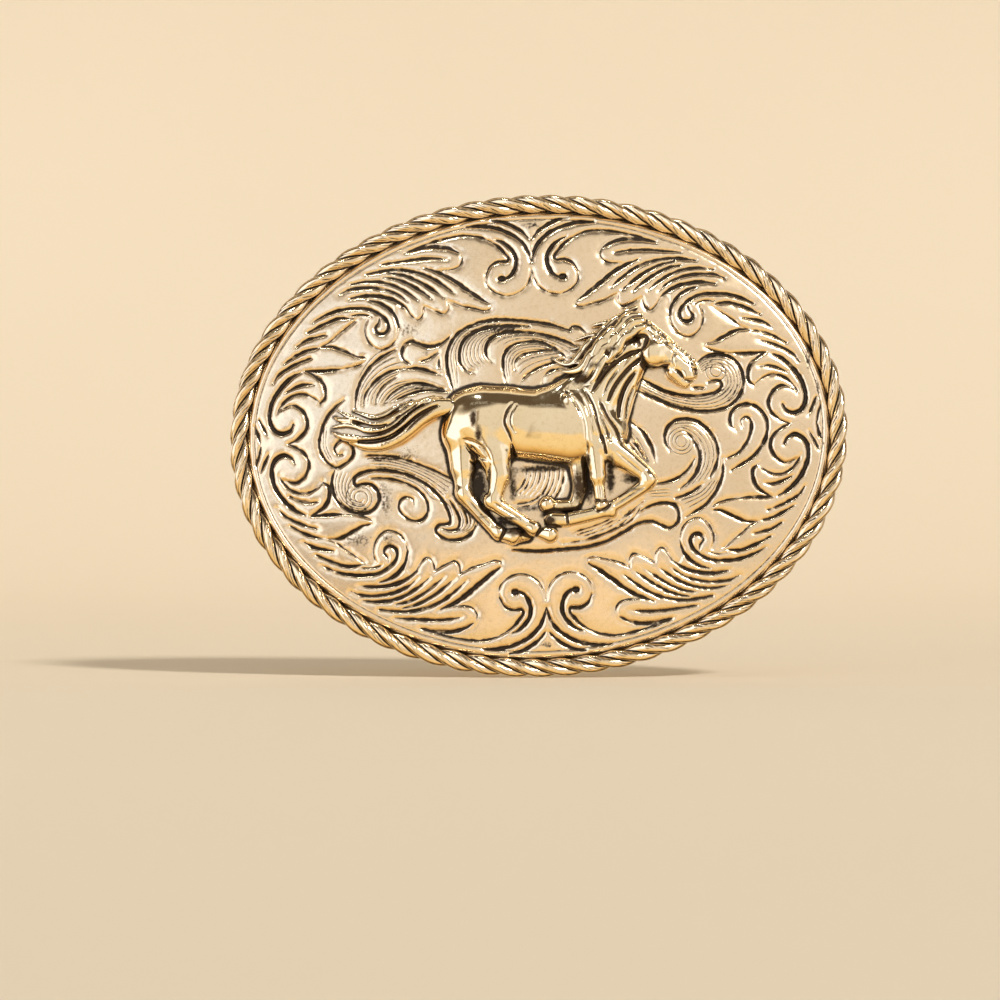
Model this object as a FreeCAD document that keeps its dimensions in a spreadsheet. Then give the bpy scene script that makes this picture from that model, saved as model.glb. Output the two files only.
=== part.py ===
"""A western trophy belt buckle: a domed oval face plate with a three-strand rope edge and a galloping-horse
figure, and behind it a hinged bail for the strap's fixed end and a stud for the holes of its free end.

Frame, in millimetres: +X along the belt, +Z up as worn, and the face looks along -Y. The origin is the middle of
the oval on the plane of the rim's back, where the strap passes. The bail is on the +X side, the stud on -X.
"""
import math
import os

import FreeCAD
import Part
import Sketcher

FRONT_TO_BACK = FreeCAD.Vector(0, 1, 0)
ABOUT_X = FreeCAD.Rotation(FreeCAD.Vector(1, 0, 0), 90)
ALONG_X = FreeCAD.Rotation(FreeCAD.Vector(0, 1, 0), 90)
ALONG_Y = FreeCAD.Rotation(FreeCAD.Vector(1, 0, 0), -90)
UNTURNED = FreeCAD.Rotation()
FULL_TURN = 2 * math.pi

SIZES = {
    # face plate: an oval shell cut from an ellipsoid, whose dome has the rim's own proportions
    "plate_half_width": 45.5,
    "plate_half_height": 35.0,
    "plate_thickness": 2.4,
    "dome_rise": 3.5,
    "dome_spread": 1.6,
    # flat flange round the plate's back, which carries the rope
    "flange_half_width": 47.3,
    "flange_half_height": 36.8,
    "flange_width": 3.1,
    "flange_thickness": 0.6,
    # rope edge: three strands twisted together round the rim
    "rope_half_width": 47.02,
    "rope_half_height": 36.52,
    "strand_radius": 0.68,
    "strand_gap": 0.02,
    "rope_turns": 21,
    # horse figure
    "figure_thickness": 4.6,
    "seat_gap": 0.03,
    # hinge of the bail
    "hinge_offset": 20.0,
    "hinge_height": 7.0,
    "pin_radius": 1.2,
    "pin_head_radius": 1.9,
    "pin_head_height": 0.6,
    "press_gap": 0.01,
    "running_gap": 0.05,
    "ear_inner": 22.8,
    "ear_thickness": 2.4,
    "ear_radius": 3.0,
    "strip_width": 7.0,
    "strip_thickness": 1.4,
    # bail
    "bail_wire_radius": 1.5,
    "bail_half_height": 21.1,
    "bail_reach": 15.0,
    "bail_corner": 3.5,
    "eye_radius": 2.4,
    "eye_length": 3.0,
    # stud
    "stud_offset": -22.0,
    "base_radius": 4.6,
    "base_top": -1.2,
    "tenon_radius": 1.3,
    "tenon_length": 1.1,
    "post_radius": 2.0,
    "knob_bottom": 5.2,
    "knob_radius": 2.8,
    "knob_band": 1.4,
    "knob_crown": 0.9,
    "knob_crown_radius": 1.6,
}

# The figure's outline, walked from the tail's tip along the back to the head, then under the legs, as (x, z).
FIGURE_TOP = [
    (-32.3, 4.9), (-29.5, 4.3), (-26.5, 3.4), (-24, 4.2), (-21.5, 5.6), (-18, 6.6), (-14.5, 6.6),
    (-12.2, 7), (-9.5, 8.1), (-6, 8.3), (-2, 7.6), (1.5, 7.2), (4, 8.5), (5.5, 11.5), (8, 14.2), (11, 16.3),
]
FIGURE_HEAD = [
    (14, 18), (16.4, 18.2), (18.2, 16.6), (21, 13.6), (23.8, 10.9), (25.4, 9.4), (25.2, 7.6), (24, 6.4),
    (22.3, 6.3), (21.2, 7.6), (19.5, 8), (17.5, 8.5), (16.2, 9.2),
]
FIGURE_LEGS = [
    (15.6, 7), (15, 3.5), (14.3, 0), (13.6, -2.6), (15.6, -4.8), (17.8, -7.2), (17.4, -9.2), (14.5, -10.9),
    (10.5, -12.8), (6, -13.8), (3.6, -14.4), (3.3, -16), (2.2, -17.2), (-1, -17), (-4, -16.6), (-7, -16.2),
    (-9.5, -13.5), (-11.8, -10.5), (-13.1, -8.6), (-12.8, -6.5), (-12.8, -4.5), (-14.4, -2),
]
FIGURE_TAIL = [
    (-15.2, 0.5), (-15.3, 2.9), (-17, 3), (-19.5, 1.8), (-22, -0.2), (-25, -1.5), (-28.3, -1.2), (-31, 0.4),
    (-32.8, 2.4),
]
BELLY_GAP = [
    (-3.4, -4.2), (2, -4.9), (6.9, -5.8), (7.4, -8.4), (6.6, -10.6), (3, -10.8), (0.5, -9.8), (-1.8, -10.4),
    (-4.4, -9.2), (-4.8, -6.8),
]

doc = FreeCAD.newDocument("BeltBuckle")


def make_sheet():
    """The driving dimensions: one row each, the name in column A and the value, with its alias, in column B."""
    sheet = doc.addObject("Spreadsheet::Sheet", "Sizes")
    for row, (name, value) in enumerate(SIZES.items(), start=1):
        sheet.set(f"A{row}", name)
        sheet.set(f"B{row}", str(value))
        sheet.setAlias(f"B{row}", name)
    doc.recompute()
    return sheet


sizes = make_sheet()


def worded(expression):
    """Adds the sheet's name before each alias in an expression."""
    words = sorted(SIZES, key=len, reverse=True)
    out, rest = "", expression
    while rest:
        word = next((w for w in words if rest.startswith(w)), None)
        out += f"Sizes.{word}" if word else rest[0]
        rest = rest[len(word) if word else 1:]
    return out


def bind(thing, **expressions):
    """Binds properties to the sheet. Property names use _ for the dots of a placement, as in Placement_Base_x."""
    for name, expression in expressions.items():
        thing.setExpression(name.replace("_", "."), worded(expression))
    return thing


def place(thing, x="0", y="0", z="0", turn=UNTURNED):
    thing.Placement = FreeCAD.Placement(FreeCAD.Vector(), turn)
    return bind(thing, Placement_Base_x=x, Placement_Base_y=y, Placement_Base_z=z)


def box(name, corner, length, width, height):
    thing = doc.addObject("Part::Box", name)
    bind(thing, Length=length, Width=width, Height=height)
    return place(thing, *corner)


def cylinder(name, radius, height, at, turn=UNTURNED):
    thing = doc.addObject("Part::Cylinder", name)
    bind(thing, Radius=radius, Height=height)
    return place(thing, *at, turn)


def combine(kind, name, base, tool):
    """A Part::Cut or Part::Common of two objects."""
    thing = doc.addObject(kind, name)
    thing.Base = base
    thing.Tool = tool
    return thing


def fuse(name, things):
    thing = doc.addObject("Part::MultiFuse", name)
    thing.Shapes = things
    return thing


def dome(name, behind_front):
    """The solid behind the dome's front surface, moved back along +Y by behind_front."""
    thing = doc.addObject("Part::Ellipsoid", name)
    depth = "dome_rise / (1 - sqrt(1 - 1 / dome_spread ^ 2))"
    bind(
        thing,
        Radius1="dome_spread * plate_half_height",
        Radius2="dome_spread * plate_half_width",
        Radius3=depth,
    )
    return place(thing, y=f"{depth} - dome_rise - plate_thickness + {behind_front}")


def layer(name, front, back):
    """The curved layer between two moved copies of the dome's front surface."""
    return combine("Part::Cut", name, dome(f"{name}_front", front), dome(f"{name}_back", back))


def profile_sketch(body, plane, points):
    """A closed polygon on an origin plane, whose corners are pairs of expressions, each bound to the sheet."""
    sketch = body.newObject("Sketcher::SketchObject", f"{body.Name}_profile")
    origin_plane = next(f for f in body.Origin.OriginFeatures if f.Role == plane)
    sketch.AttachmentSupport = [(origin_plane, "")]
    sketch.MapMode = "FlatFace"
    values = {name: float(value) for name, value in SIZES.items()}
    corners = [FreeCAD.Vector(*(number_of(e, values) for e in pair), 0) for pair in points]
    count = len(corners)
    for i in range(count):
        sketch.addGeometry(Part.LineSegment(corners[i], corners[(i + 1) % count]), False)
    for i in range(count):
        sketch.addConstraint(Sketcher.Constraint("Coincident", i, 2, (i + 1) % count, 1))
    for i, pair in enumerate(points):
        for kind, axis, expression, start in (
            ("DistanceX", -2, pair[0], corners[i].x),
            ("DistanceY", -1, pair[1], corners[i].y),
        ):
            if expression == "0":
                sketch.addConstraint(Sketcher.Constraint("PointOnObject", i, 1, axis))
            else:
                made = sketch.addConstraint(Sketcher.Constraint(kind, -1, 1, i, 1, start))
                sketch.setExpression(f"Constraints[{made}]", worded(expression))
    return sketch


def number_of(expression, values):
    """The number that a sum or difference of aliases and plain numbers stands for."""
    total, sign = 0.0, 1
    for word in expression.replace("-", " - ").replace("+", " + ").split():
        if word in "+-":
            sign = 1 if word == "+" else -1
        else:
            total += sign * (values[word] if word in values else float(word))
            sign = 1
    return total


def turned(label, plane, axis, points):
    """A body turned from a closed profile about an axis of its own sketch."""
    body = doc.addObject("PartDesign::Body", label)
    sketch = profile_sketch(body, plane, points)
    turn = body.newObject("PartDesign::Revolution", f"{label}_turn")
    turn.Profile = sketch
    turn.ReferenceAxis = (sketch, [axis])
    turn.Angle = 360
    return body


def outline_body(label, outlines, depth):
    """A body padded both ways from closed curves through points on the XZ plane."""
    body = doc.addObject("PartDesign::Body", label)
    sketch = body.newObject("Sketcher::SketchObject", f"{label}_outline")
    sketch.AttachmentSupport = [(next(f for f in body.Origin.OriginFeatures if f.Role == "XZ_Plane"), "")]
    sketch.MapMode = "FlatFace"
    for points in outlines:
        curve = Part.BSplineCurve()
        curve.interpolate([FreeCAD.Vector(x, z, 0) for x, z in points], PeriodicFlag=True)
        sketch.addGeometry(curve, False)
    pad = body.newObject("PartDesign::Pad", f"{label}_pad")
    pad.Profile = sketch
    pad.Midplane = True
    pad.setExpression("Length", worded(depth))
    return body


def oval_slab(name, half_width, half_height, length, symmetric=False):
    """An upright oval slab, whose length runs forward from the plane of the rim's back, or both ways from it."""
    oval = doc.addObject("Part::Ellipse", f"{name}_oval")
    bind(oval, MajorRadius=half_width, MinorRadius=half_height)
    place(oval, turn=ABOUT_X)
    slab = doc.addObject("Part::Extrusion", name)
    slab.Base = oval
    slab.DirMode = "Custom"
    slab.Dir = -FRONT_TO_BACK
    slab.Solid = True
    slab.Symmetric = symmetric
    return bind(slab, LengthFwd=length)


def make_face_plate():
    """The domed shell with an upright oval edge, and the flat flange round its back."""
    blank = oval_slab(
        "plate_blank", "plate_half_width", "plate_half_height", "4 * (dome_rise + plate_thickness)", True
    )
    shell = combine("Part::Common", "plate_dome", blank, layer("plate_shell", "0", "plate_thickness"))
    flange = combine(
        "Part::Cut",
        "flange",
        oval_slab("flange_outer", "flange_half_width", "flange_half_height", "flange_thickness"),
        oval_slab(
            "flange_inner",
            "flange_half_width - flange_width",
            "flange_half_height - flange_width",
            "2 * flange_thickness",
            True,
        ),
    )
    return fuse("face_plate", [shell, flange])


def make_rope_strand(label, start_angle):
    """One strand of the rope: a tube that winds round the rope's middle line while that runs round the oval.
    Its rings lie square to the middle line, so the strands lie side by side and don't cross. The surface is a
    periodic cubic spline, whose poles stand outside the curve by spline_reach. In front, the strands run
    outwards as they go round the oval from +X towards +Z."""
    turns = int(sizes.rope_turns)
    rings_per_turn, poles_per_ring = 8, 8
    count = turns * rings_per_turn
    wind_radius = (2 * sizes.strand_radius + sizes.strand_gap) / math.sqrt(3)
    ring_reach = sizes.strand_radius * spline_reach(poles_per_ring)
    wind_reach = wind_radius * spline_reach(rings_per_turn)
    middle_depth = -sizes.flange_thickness - sizes.strand_gap - wind_radius - sizes.strand_radius
    rings = []
    for i, angle in enumerate(equal_steps(sizes.rope_half_width, sizes.rope_half_height, count)):
        across, up = math.cos(angle), math.sin(angle)
        middle = FreeCAD.Vector(sizes.rope_half_width * across, middle_depth, sizes.rope_half_height * up)
        outward = FreeCAD.Vector(sizes.rope_half_height * across, 0, sizes.rope_half_width * up).normalize()

        def around(centre, reach, turn, outward=outward):
            return centre + outward * (reach * math.cos(turn)) - FRONT_TO_BACK * (reach * math.sin(turn))

        centre = around(middle, wind_reach, start_angle - FULL_TURN * turns * i / count)
        rings.append([around(centre, ring_reach, FULL_TURN * k / poles_per_ring) for k in range(poles_per_ring)])
    surface = Part.BSplineSurface()
    surface.buildFromPolesMultsKnots(
        rings,
        [1] * (count + 1),
        [1] * (poles_per_ring + 1),
        list(range(count + 1)),
        list(range(poles_per_ring + 1)),
        True,
        True,
        3,
        3,
    )
    strand = doc.addObject("Part::Feature", label)
    strand.Shape = Part.Solid(Part.Shell([surface.toShape()]))
    return strand


def spline_reach(poles_per_turn):
    """How far outside a circle of radius 1 the poles of a uniform periodic cubic spline stand."""
    return 3 / (2 + math.cos(FULL_TURN / poles_per_turn))


def equal_steps(half_width, half_height, count):
    """Angles of an ellipse that divide its length into equal steps."""
    fine = 64 * count
    lengths = [0.0]
    for i in range(fine):
        angle = FULL_TURN * (i + 0.5) / fine
        step = math.hypot(half_width * math.sin(angle), half_height * math.cos(angle))
        lengths.append(lengths[-1] + step)
    angles, at = [], 0
    for i in range(count):
        target = lengths[-1] * i / count
        while lengths[at + 1] < target:
            at += 1
        share = (target - lengths[at]) / (lengths[at + 1] - lengths[at])
        angles.append(FULL_TURN * (at + share) / fine)
    return angles


def make_horse_figure():
    """The horse's outline, as thick as the relief, with a back that fits the dome."""
    outline = FIGURE_TOP + FIGURE_HEAD + FIGURE_LEGS + FIGURE_TAIL
    blank = outline_body("figure_blank", [outline, BELLY_GAP], "4 * (dome_rise + plate_thickness + figure_thickness)")
    relief = layer("figure_relief", "-figure_thickness", "-seat_gap")
    return combine("Part::Common", "horse_figure", blank, relief)


def make_hinge_bracket():
    """A strip that follows the plate's hollow back, with an upright ear at each end for the hinge pin."""
    strip_box = box(
        "strip_box",
        ("hinge_offset - strip_width / 2", "-dome_rise - plate_thickness", "-ear_inner - ear_thickness"),
        "strip_width",
        "dome_rise + plate_thickness + strip_thickness",
        "2 * (ear_inner + ear_thickness)",
    )
    strip = combine("Part::Cut", "strip", strip_box, dome("strip_back", "plate_thickness + strip_thickness"))
    pieces = [strip]
    for side, low in (("upper", "ear_inner"), ("lower", "-ear_inner - ear_thickness")):
        pieces.append(
            box(
                f"ear_{side}",
                ("hinge_offset - ear_radius", "-dome_rise", low),
                "2 * ear_radius",
                "dome_rise + hinge_height",
                "ear_thickness",
            )
        )
        pieces.append(
            cylinder(f"ear_{side}_round", "ear_radius", "ear_thickness", ("hinge_offset", "hinge_height", low))
        )
    blank = fuse("bracket_blank", pieces)
    seated = combine("Part::Common", "bracket_seated", blank, dome("bracket_seat", "plate_thickness + seat_gap"))
    bore = cylinder(
        "bracket_bore",
        "pin_radius + press_gap",
        "2 * (ear_inner + 2 * ear_thickness)",
        ("hinge_offset", "hinge_height", "-ear_inner - 2 * ear_thickness"),
    )
    return combine("Part::Cut", "hinge_bracket", seated, bore)


def make_hinge_pin():
    """A straight pin with a low round head peened outside each ear."""
    ear_outer = "ear_inner + ear_thickness + press_gap"
    head_outer = f"{ear_outer} + pin_head_height"
    half = [
        ("pin_radius", ear_outer),
        ("pin_head_radius", ear_outer),
        ("pin_radius", head_outer),
        ("0", head_outer),
    ]
    mirrored = [(across, "-" + up.replace(" + ", " - ")) for across, up in reversed(half)]
    pin = turned("hinge_pin", "XZ_Plane", "V_Axis", mirrored + half)
    return place(pin, x="hinge_offset", y="hinge_height")


def make_bail():
    """A U of round wire with an eye on the end of each arm, which turns on the pin."""
    arm_length = "bail_reach - bail_corner"
    corner_x = f"hinge_offset + {arm_length}"
    pieces = [
        cylinder(
            "bail_bar",
            "bail_wire_radius",
            "2 * (bail_half_height - bail_corner)",
            ("hinge_offset + bail_reach", "hinge_height", "-bail_half_height + bail_corner"),
        )
    ]
    for side, sign, first_angle in (("upper", "", 0), ("lower", "-", -90)):
        pieces.append(
            cylinder(
                f"bail_arm_{side}",
                "bail_wire_radius",
                arm_length,
                ("hinge_offset", "hinge_height", f"{sign}bail_half_height"),
                ALONG_X,
            )
        )
        corner = doc.addObject("Part::Torus", f"bail_corner_{side}")
        corner.Angle3 = 90
        bind(corner, Radius1="bail_corner", Radius2="bail_wire_radius")
        turn = ABOUT_X.multiply(FreeCAD.Rotation(FreeCAD.Vector(0, 0, 1), first_angle))
        place(corner, corner_x, "hinge_height", f"{sign}(bail_half_height - bail_corner)", turn)
        pieces.append(corner)
        pieces.append(
            cylinder(
                f"bail_eye_{side}",
                "eye_radius",
                "eye_length",
                ("hinge_offset", "hinge_height", f"{sign}bail_half_height - eye_length / 2"),
            )
        )
    blank = fuse("bail_blank", pieces)
    bore = cylinder(
        "bail_bore",
        "pin_radius + running_gap",
        "4 * bail_half_height",
        ("hinge_offset", "hinge_height", "-2 * bail_half_height"),
    )
    return combine("Part::Cut", "bail", blank, bore)


def make_stud_base():
    """A round pad that fits the plate's hollow back, flat behind, with a hole for the stud's tenon."""
    foot = "-dome_rise - plate_thickness"
    blank = cylinder("base_blank", "base_radius", f"base_top - ({foot})", ("stud_offset", foot, "0"), ALONG_Y)
    seated = combine("Part::Common", "base_seated", blank, dome("base_seat", "plate_thickness + seat_gap"))
    bore = cylinder(
        "base_bore", "tenon_radius + press_gap", "2 * base_radius", ("stud_offset", foot, "0"), ALONG_Y
    )
    return combine("Part::Cut", "stud_base", seated, bore)


def make_belt_stud():
    """A turned post with a round knob for the strap's holes, and a tenon peened into the base."""
    band_top = "knob_bottom + knob_band"
    points = [
        ("0", "base_top - tenon_length"),
        ("tenon_radius", "base_top - tenon_length"),
        ("tenon_radius", "base_top"),
        ("post_radius", "base_top"),
        ("post_radius", "knob_bottom - knob_crown"),
        ("knob_radius", "knob_bottom"),
        ("knob_radius", band_top),
        ("knob_crown_radius", f"{band_top} + knob_crown"),
        ("0", f"{band_top} + knob_crown"),
    ]
    stud = turned("belt_stud", "XY_Plane", "V_Axis", points)
    return place(stud, x="stud_offset")


def check_document():
    """Stops if the document holds an object that failed."""
    for thing in doc.Objects:
        if {"Invalid", "Error"} & set(thing.State):
            raise RuntimeError(f"{thing.Label} failed: {thing.State}")


def export(parts):
    os.makedirs("parts", exist_ok=True)
    for part in parts:
        shape = part.Shape
        if shape.isNull() or not shape.isValid() or not shape.Solids:
            raise RuntimeError(f"{part.Label} has no valid solid")
        shape.exportStep(f"parts/{part.Label}.step")
        print(f"{part.Label}: {len(shape.Solids)} solid, {shape.Volume:.1f} mm3, {shape.BoundBox}")


nodes = [
    make_face_plate(),
    *(make_rope_strand(f"rope_strand_{letter}", FULL_TURN * i / 3) for i, letter in enumerate("abc")),
    make_horse_figure(),
    make_hinge_bracket(),
    make_hinge_pin(),
    make_bail(),
    make_stud_base(),
    make_belt_stud(),
]
doc.recompute()
check_document()
export(nodes)
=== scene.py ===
"""The looks of the western belt buckle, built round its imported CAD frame.

The face plate gets its engraved relief, the horse figure its sculpted form and the rope its full strands.
Everything is in the CAD frame: +X along the belt, +Z up, the face looking along -Y. Lengths are in
millimetres until a mesh is made, and depths over the plate are measured towards the viewer. Lamps, the
camera and shader distances are in metres.
"""

import math

import bpy
import numpy as np
from mathutils import Euler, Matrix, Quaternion, Vector


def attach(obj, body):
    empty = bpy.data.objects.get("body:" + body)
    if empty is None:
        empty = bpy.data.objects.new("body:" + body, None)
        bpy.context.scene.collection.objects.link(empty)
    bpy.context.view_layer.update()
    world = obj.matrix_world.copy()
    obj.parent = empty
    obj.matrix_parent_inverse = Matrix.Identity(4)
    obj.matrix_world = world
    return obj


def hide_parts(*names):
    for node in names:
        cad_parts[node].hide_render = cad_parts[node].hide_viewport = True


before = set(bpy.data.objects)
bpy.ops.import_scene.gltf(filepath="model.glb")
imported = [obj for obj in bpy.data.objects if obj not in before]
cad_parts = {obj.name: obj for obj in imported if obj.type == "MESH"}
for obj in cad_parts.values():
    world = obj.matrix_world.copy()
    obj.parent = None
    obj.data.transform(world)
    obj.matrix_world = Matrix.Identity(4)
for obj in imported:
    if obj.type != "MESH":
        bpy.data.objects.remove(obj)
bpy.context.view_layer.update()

MM = 0.001
FULL_TURN = 2 * math.pi

# The part's own dimensions.
PLATE_HALF = np.array([45.5, 35.0])
PLATE_THICKNESS = 2.4
DOME_RISE = 3.5
DOME_SPREAD = 1.6
FLANGE_HALF = np.array([47.3, 36.8])
FLANGE_WIDTH = 3.1
FLANGE_THICKNESS = 0.6
ROPE_HALF = np.array([47.02, 36.52])
ROPE_RADIUS = 1.47
ROPE_DEPTH = 2.1
ROPE_TURNS = 21
ROPE_STRANDS = 3


# ---------------------------------------------------------------- curves and the relief's raster

CELL = 0.1
RASTER_HALF = np.array([47.0, 36.5])
COLUMNS = np.arange(-RASTER_HALF[0], RASTER_HALF[0] + CELL / 2, CELL)
ROWS = np.arange(-RASTER_HALF[1], RASTER_HALF[1] + CELL / 2, CELL)
GRID_X, GRID_Z = np.meshgrid(COLUMNS, ROWS)
NO_STROKE = 5.0
STROKE_REACH = 1.6


def curve(points, gap=0.3):
    """Points along the centripetal Catmull-Rom curve through the given ones, at most gap apart."""
    p = np.array(points, float)
    p = np.vstack([2 * p[0] - p[1], p, 2 * p[-1] - p[-2]])
    out = []
    for a, b, c, d in zip(p[:-3], p[1:-2], p[2:-1], p[3:]):
        t1 = np.linalg.norm(b - a) ** 0.5
        t2 = t1 + np.linalg.norm(c - b) ** 0.5
        t3 = t2 + np.linalg.norm(d - c) ** 0.5
        steps = max(2, int(np.linalg.norm(c - b) / gap) + 1)
        t = np.linspace(t1, t2, steps, endpoint=False)[:, None]
        ab = ((t1 - t) * a + t * b) / t1
        bc = ((t2 - t) * b + (t - t1) * c) / (t2 - t1)
        cd = ((t3 - t) * c + (t - t2) * d) / (t3 - t2)
        abc = ((t2 - t) * ab + t * bc) / t2
        bcd = ((t3 - t) * bc + (t - t1) * cd) / (t3 - t1)
        out.append(((t2 - t) * abc + (t - t1) * bcd) / (t2 - t1))
    out.append(p[-2:-1])
    return np.vstack(out)


def lengths_along(line):
    return np.concatenate([[0], np.cumsum(np.linalg.norm(np.diff(line, axis=0), axis=1))])


def even_points(line, count):
    """The line resampled to a number of evenly spaced points."""
    along = lengths_along(line)
    at = np.linspace(0, along[-1], count)
    return np.stack([np.interp(at, along, line[:, i]) for i in range(line.shape[1])], axis=1)


def between(first, second, count):
    """Curves spread evenly between two others that run the same way."""
    a, b = (even_points(curve(points), 24) for points in (first, second))
    return [a + (b - a) * (i + 1) / (count + 1) for i in range(count)]


def window(low, high):
    """The raster's cells between two corners."""
    a = np.clip(((np.array(low) + RASTER_HALF) / CELL).astype(int), 0, None)
    b = ((np.array(high) + RASTER_HALF) / CELL).astype(int) + 2
    return slice(a[1], max(b[1], 0)), slice(a[0], max(b[0], 0))


def stroke(field, line, half_width, taper=2.6):
    """Lowers field to the distance from a stroke's edge, negative inside it. Its ends are narrower."""
    along = lengths_along(line)
    share = np.clip(np.minimum(along, along[-1] - along) / min(taper, 0.45 * along[-1]), 0, 1)
    widths = half_width * (0.25 + 0.75 * share**0.7)
    for start, end, width in zip(line, line[1:], widths):
        reach = width + STROKE_REACH
        cells = window(np.minimum(start, end) - reach, np.maximum(start, end) + reach)
        step = end - start
        x = GRID_X[cells] - start[0]
        z = GRID_Z[cells] - start[1]
        t = np.clip((x * step[0] + z * step[1]) / (step @ step), 0, 1)
        away = np.hypot(x - t * step[0], z - t * step[1]) - width
        field[cells] = np.minimum(field[cells], away)


def empty_field():
    return np.full(GRID_X.shape, NO_STROKE)


def inside(outline):
    """1 in the raster's cells inside a closed outline, and 0 outside it."""
    hit = np.zeros(GRID_X.shape, bool)
    for (x1, z1), (x2, z2) in zip(outline, np.roll(outline, -1, axis=0)):
        rows = (ROWS >= min(z1, z2)) & (ROWS < max(z1, z2))
        if rows.any():
            crossing = x1 + (ROWS[rows] - z1) * (x2 - x1) / (z2 - z1)
            hit[rows] ^= COLUMNS[None, :] < crossing[:, None]
    return hit.astype(float)


def soften(field, radius):
    """A Gaussian blur of a raster."""
    count = int(3 * radius / CELL)
    kernel = np.exp(-0.5 * (np.arange(-count, count + 1) * CELL / radius) ** 2)
    kernel /= kernel.sum()
    padded = np.pad(field, count, mode="edge")
    rows = sum(k * padded[i : i + field.shape[0]] for i, k in enumerate(kernel))
    return sum(k * rows[:, i : i + field.shape[1]] for i, k in enumerate(kernel))


def read_raster(field, x, z):
    """The raster's value at any points, by bilinear interpolation."""
    column = np.clip((x + RASTER_HALF[0]) / CELL, 0, field.shape[1] - 1.001)
    row = np.clip((z + RASTER_HALF[1]) / CELL, 0, field.shape[0] - 1.001)
    i, j = row.astype(int), column.astype(int)
    u, v = row - i, column - j
    low = field[i, j] * (1 - v) + field[i, j + 1] * v
    high = field[i + 1, j] * (1 - v) + field[i + 1, j + 1] * v
    return low * (1 - u) + high * u


def mirrored(field):
    """The least of a raster and its mirror images in both axes."""
    field = np.minimum(field, field[:, ::-1])
    return np.minimum(field, field[::-1])


def smooth_step(value, low, high):
    t = np.clip((value - low) / (high - low), 0, 1)
    return t * t * (3 - 2 * t)


# ---------------------------------------------------------------- the dome

def dome_height(x, z):
    """How far the smooth dome stands in front of the rim's back plane, without the plate's thickness."""
    reach = (x / PLATE_HALF[0]) ** 2 + (z / PLATE_HALF[1]) ** 2
    rim = math.sqrt(1 - 1 / DOME_SPREAD**2)
    return DOME_RISE * (np.sqrt(1 - reach / DOME_SPREAD**2) - rim) / (1 - rim)


def front_y(x, z):
    """Where the plate's smooth front lies."""
    return -dome_height(x, z) - PLATE_THICKNESS


def rim_distance(x, z):
    """How far inside the plate's edge a point lies, nearly exact close to the edge."""
    reach = np.sqrt((x / PLATE_HALF[0]) ** 2 + (z / PLATE_HALF[1]) ** 2) + 1e-9
    slope = np.hypot(x / PLATE_HALF[0] ** 2, z / PLATE_HALF[1] ** 2) / reach + 1e-9
    return (1 - reach) / slope


# ---------------------------------------------------------------- the engraving

# The border repeats in all four quarters, so it is drawn once, for +X and +Z. This is the line where the
# raised leaves meet the field, from the middle of the top to the middle of the right side.
BORDER_EDGE = [
    (0, 26), (0.3, 24.7), (1, 23.3), (2.2, 22.2), (3.8, 21.8), (5.2, 22), (6.5, 22.9), (7.2, 24.3),
    (7.1, 25.7),
    (6.3, 26.8), (5.2, 27.4), (3.8, 27.3), (3.6, 28.1), (4.4, 29.3), (5.6, 30.4), (7.5, 31.3), (10.5, 31.9),
    (13.5, 31.5), (17, 30.5), (19.6, 29.7), (17, 30.3), (14.5, 30.5), (12.4, 30.1), (11.1, 29.2),
    (10.7, 28.2),
    (11.2, 27.1), (12.3, 26.4), (13.5, 26.4), (14.5, 26.2), (12.5, 24.9), (10.3, 23.2), (8.3, 21.7),
    (6.8, 20.6),
    (6.6, 20), (7.5, 19.6), (9.2, 20), (11.2, 20.5), (13.2, 21.4), (13.2, 20.4), (13.9, 19.4), (15.2, 19.8),
    (17.1, 20.8), (17.3, 19.5), (18.2, 18.6), (19.1, 19.3), (20, 20.6), (20.9, 21.2), (21.5, 20.4),
    (21.25, 19),
    (21.2, 17.5), (21.7, 15.7), (22.9, 14.5), (24.3, 14.2), (25.6, 15), (26.4, 16.5), (26.5, 18),
    (26.2, 19.2),
    (27.2, 19.75), (28.1, 19.2), (29.5, 17.9), (31, 16.8), (32.3, 15.7), (33.6, 15.1), (32, 15.1),
    (30, 14.3),
    (28, 13.3), (26.8, 13.1), (26.5, 12.8), (27.2, 12.2), (29, 11.6), (31, 11.3), (33.5, 11.3), (36, 11.4),
    (34.8, 10.7), (33.6, 9.6), (33.1, 8.2), (33.2, 6.9), (34, 6.2), (35, 6.9), (36.5, 7.8), (38, 7.7),
    (39.3, 7),
    (40.4, 5.8), (40.3, 5.2), (39.6, 5.7), (38.3, 6), (36.8, 5.1), (36.1, 3.5), (36.5, 1.9), (37.8, 0.7),
    (39.3, 0),
]

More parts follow.
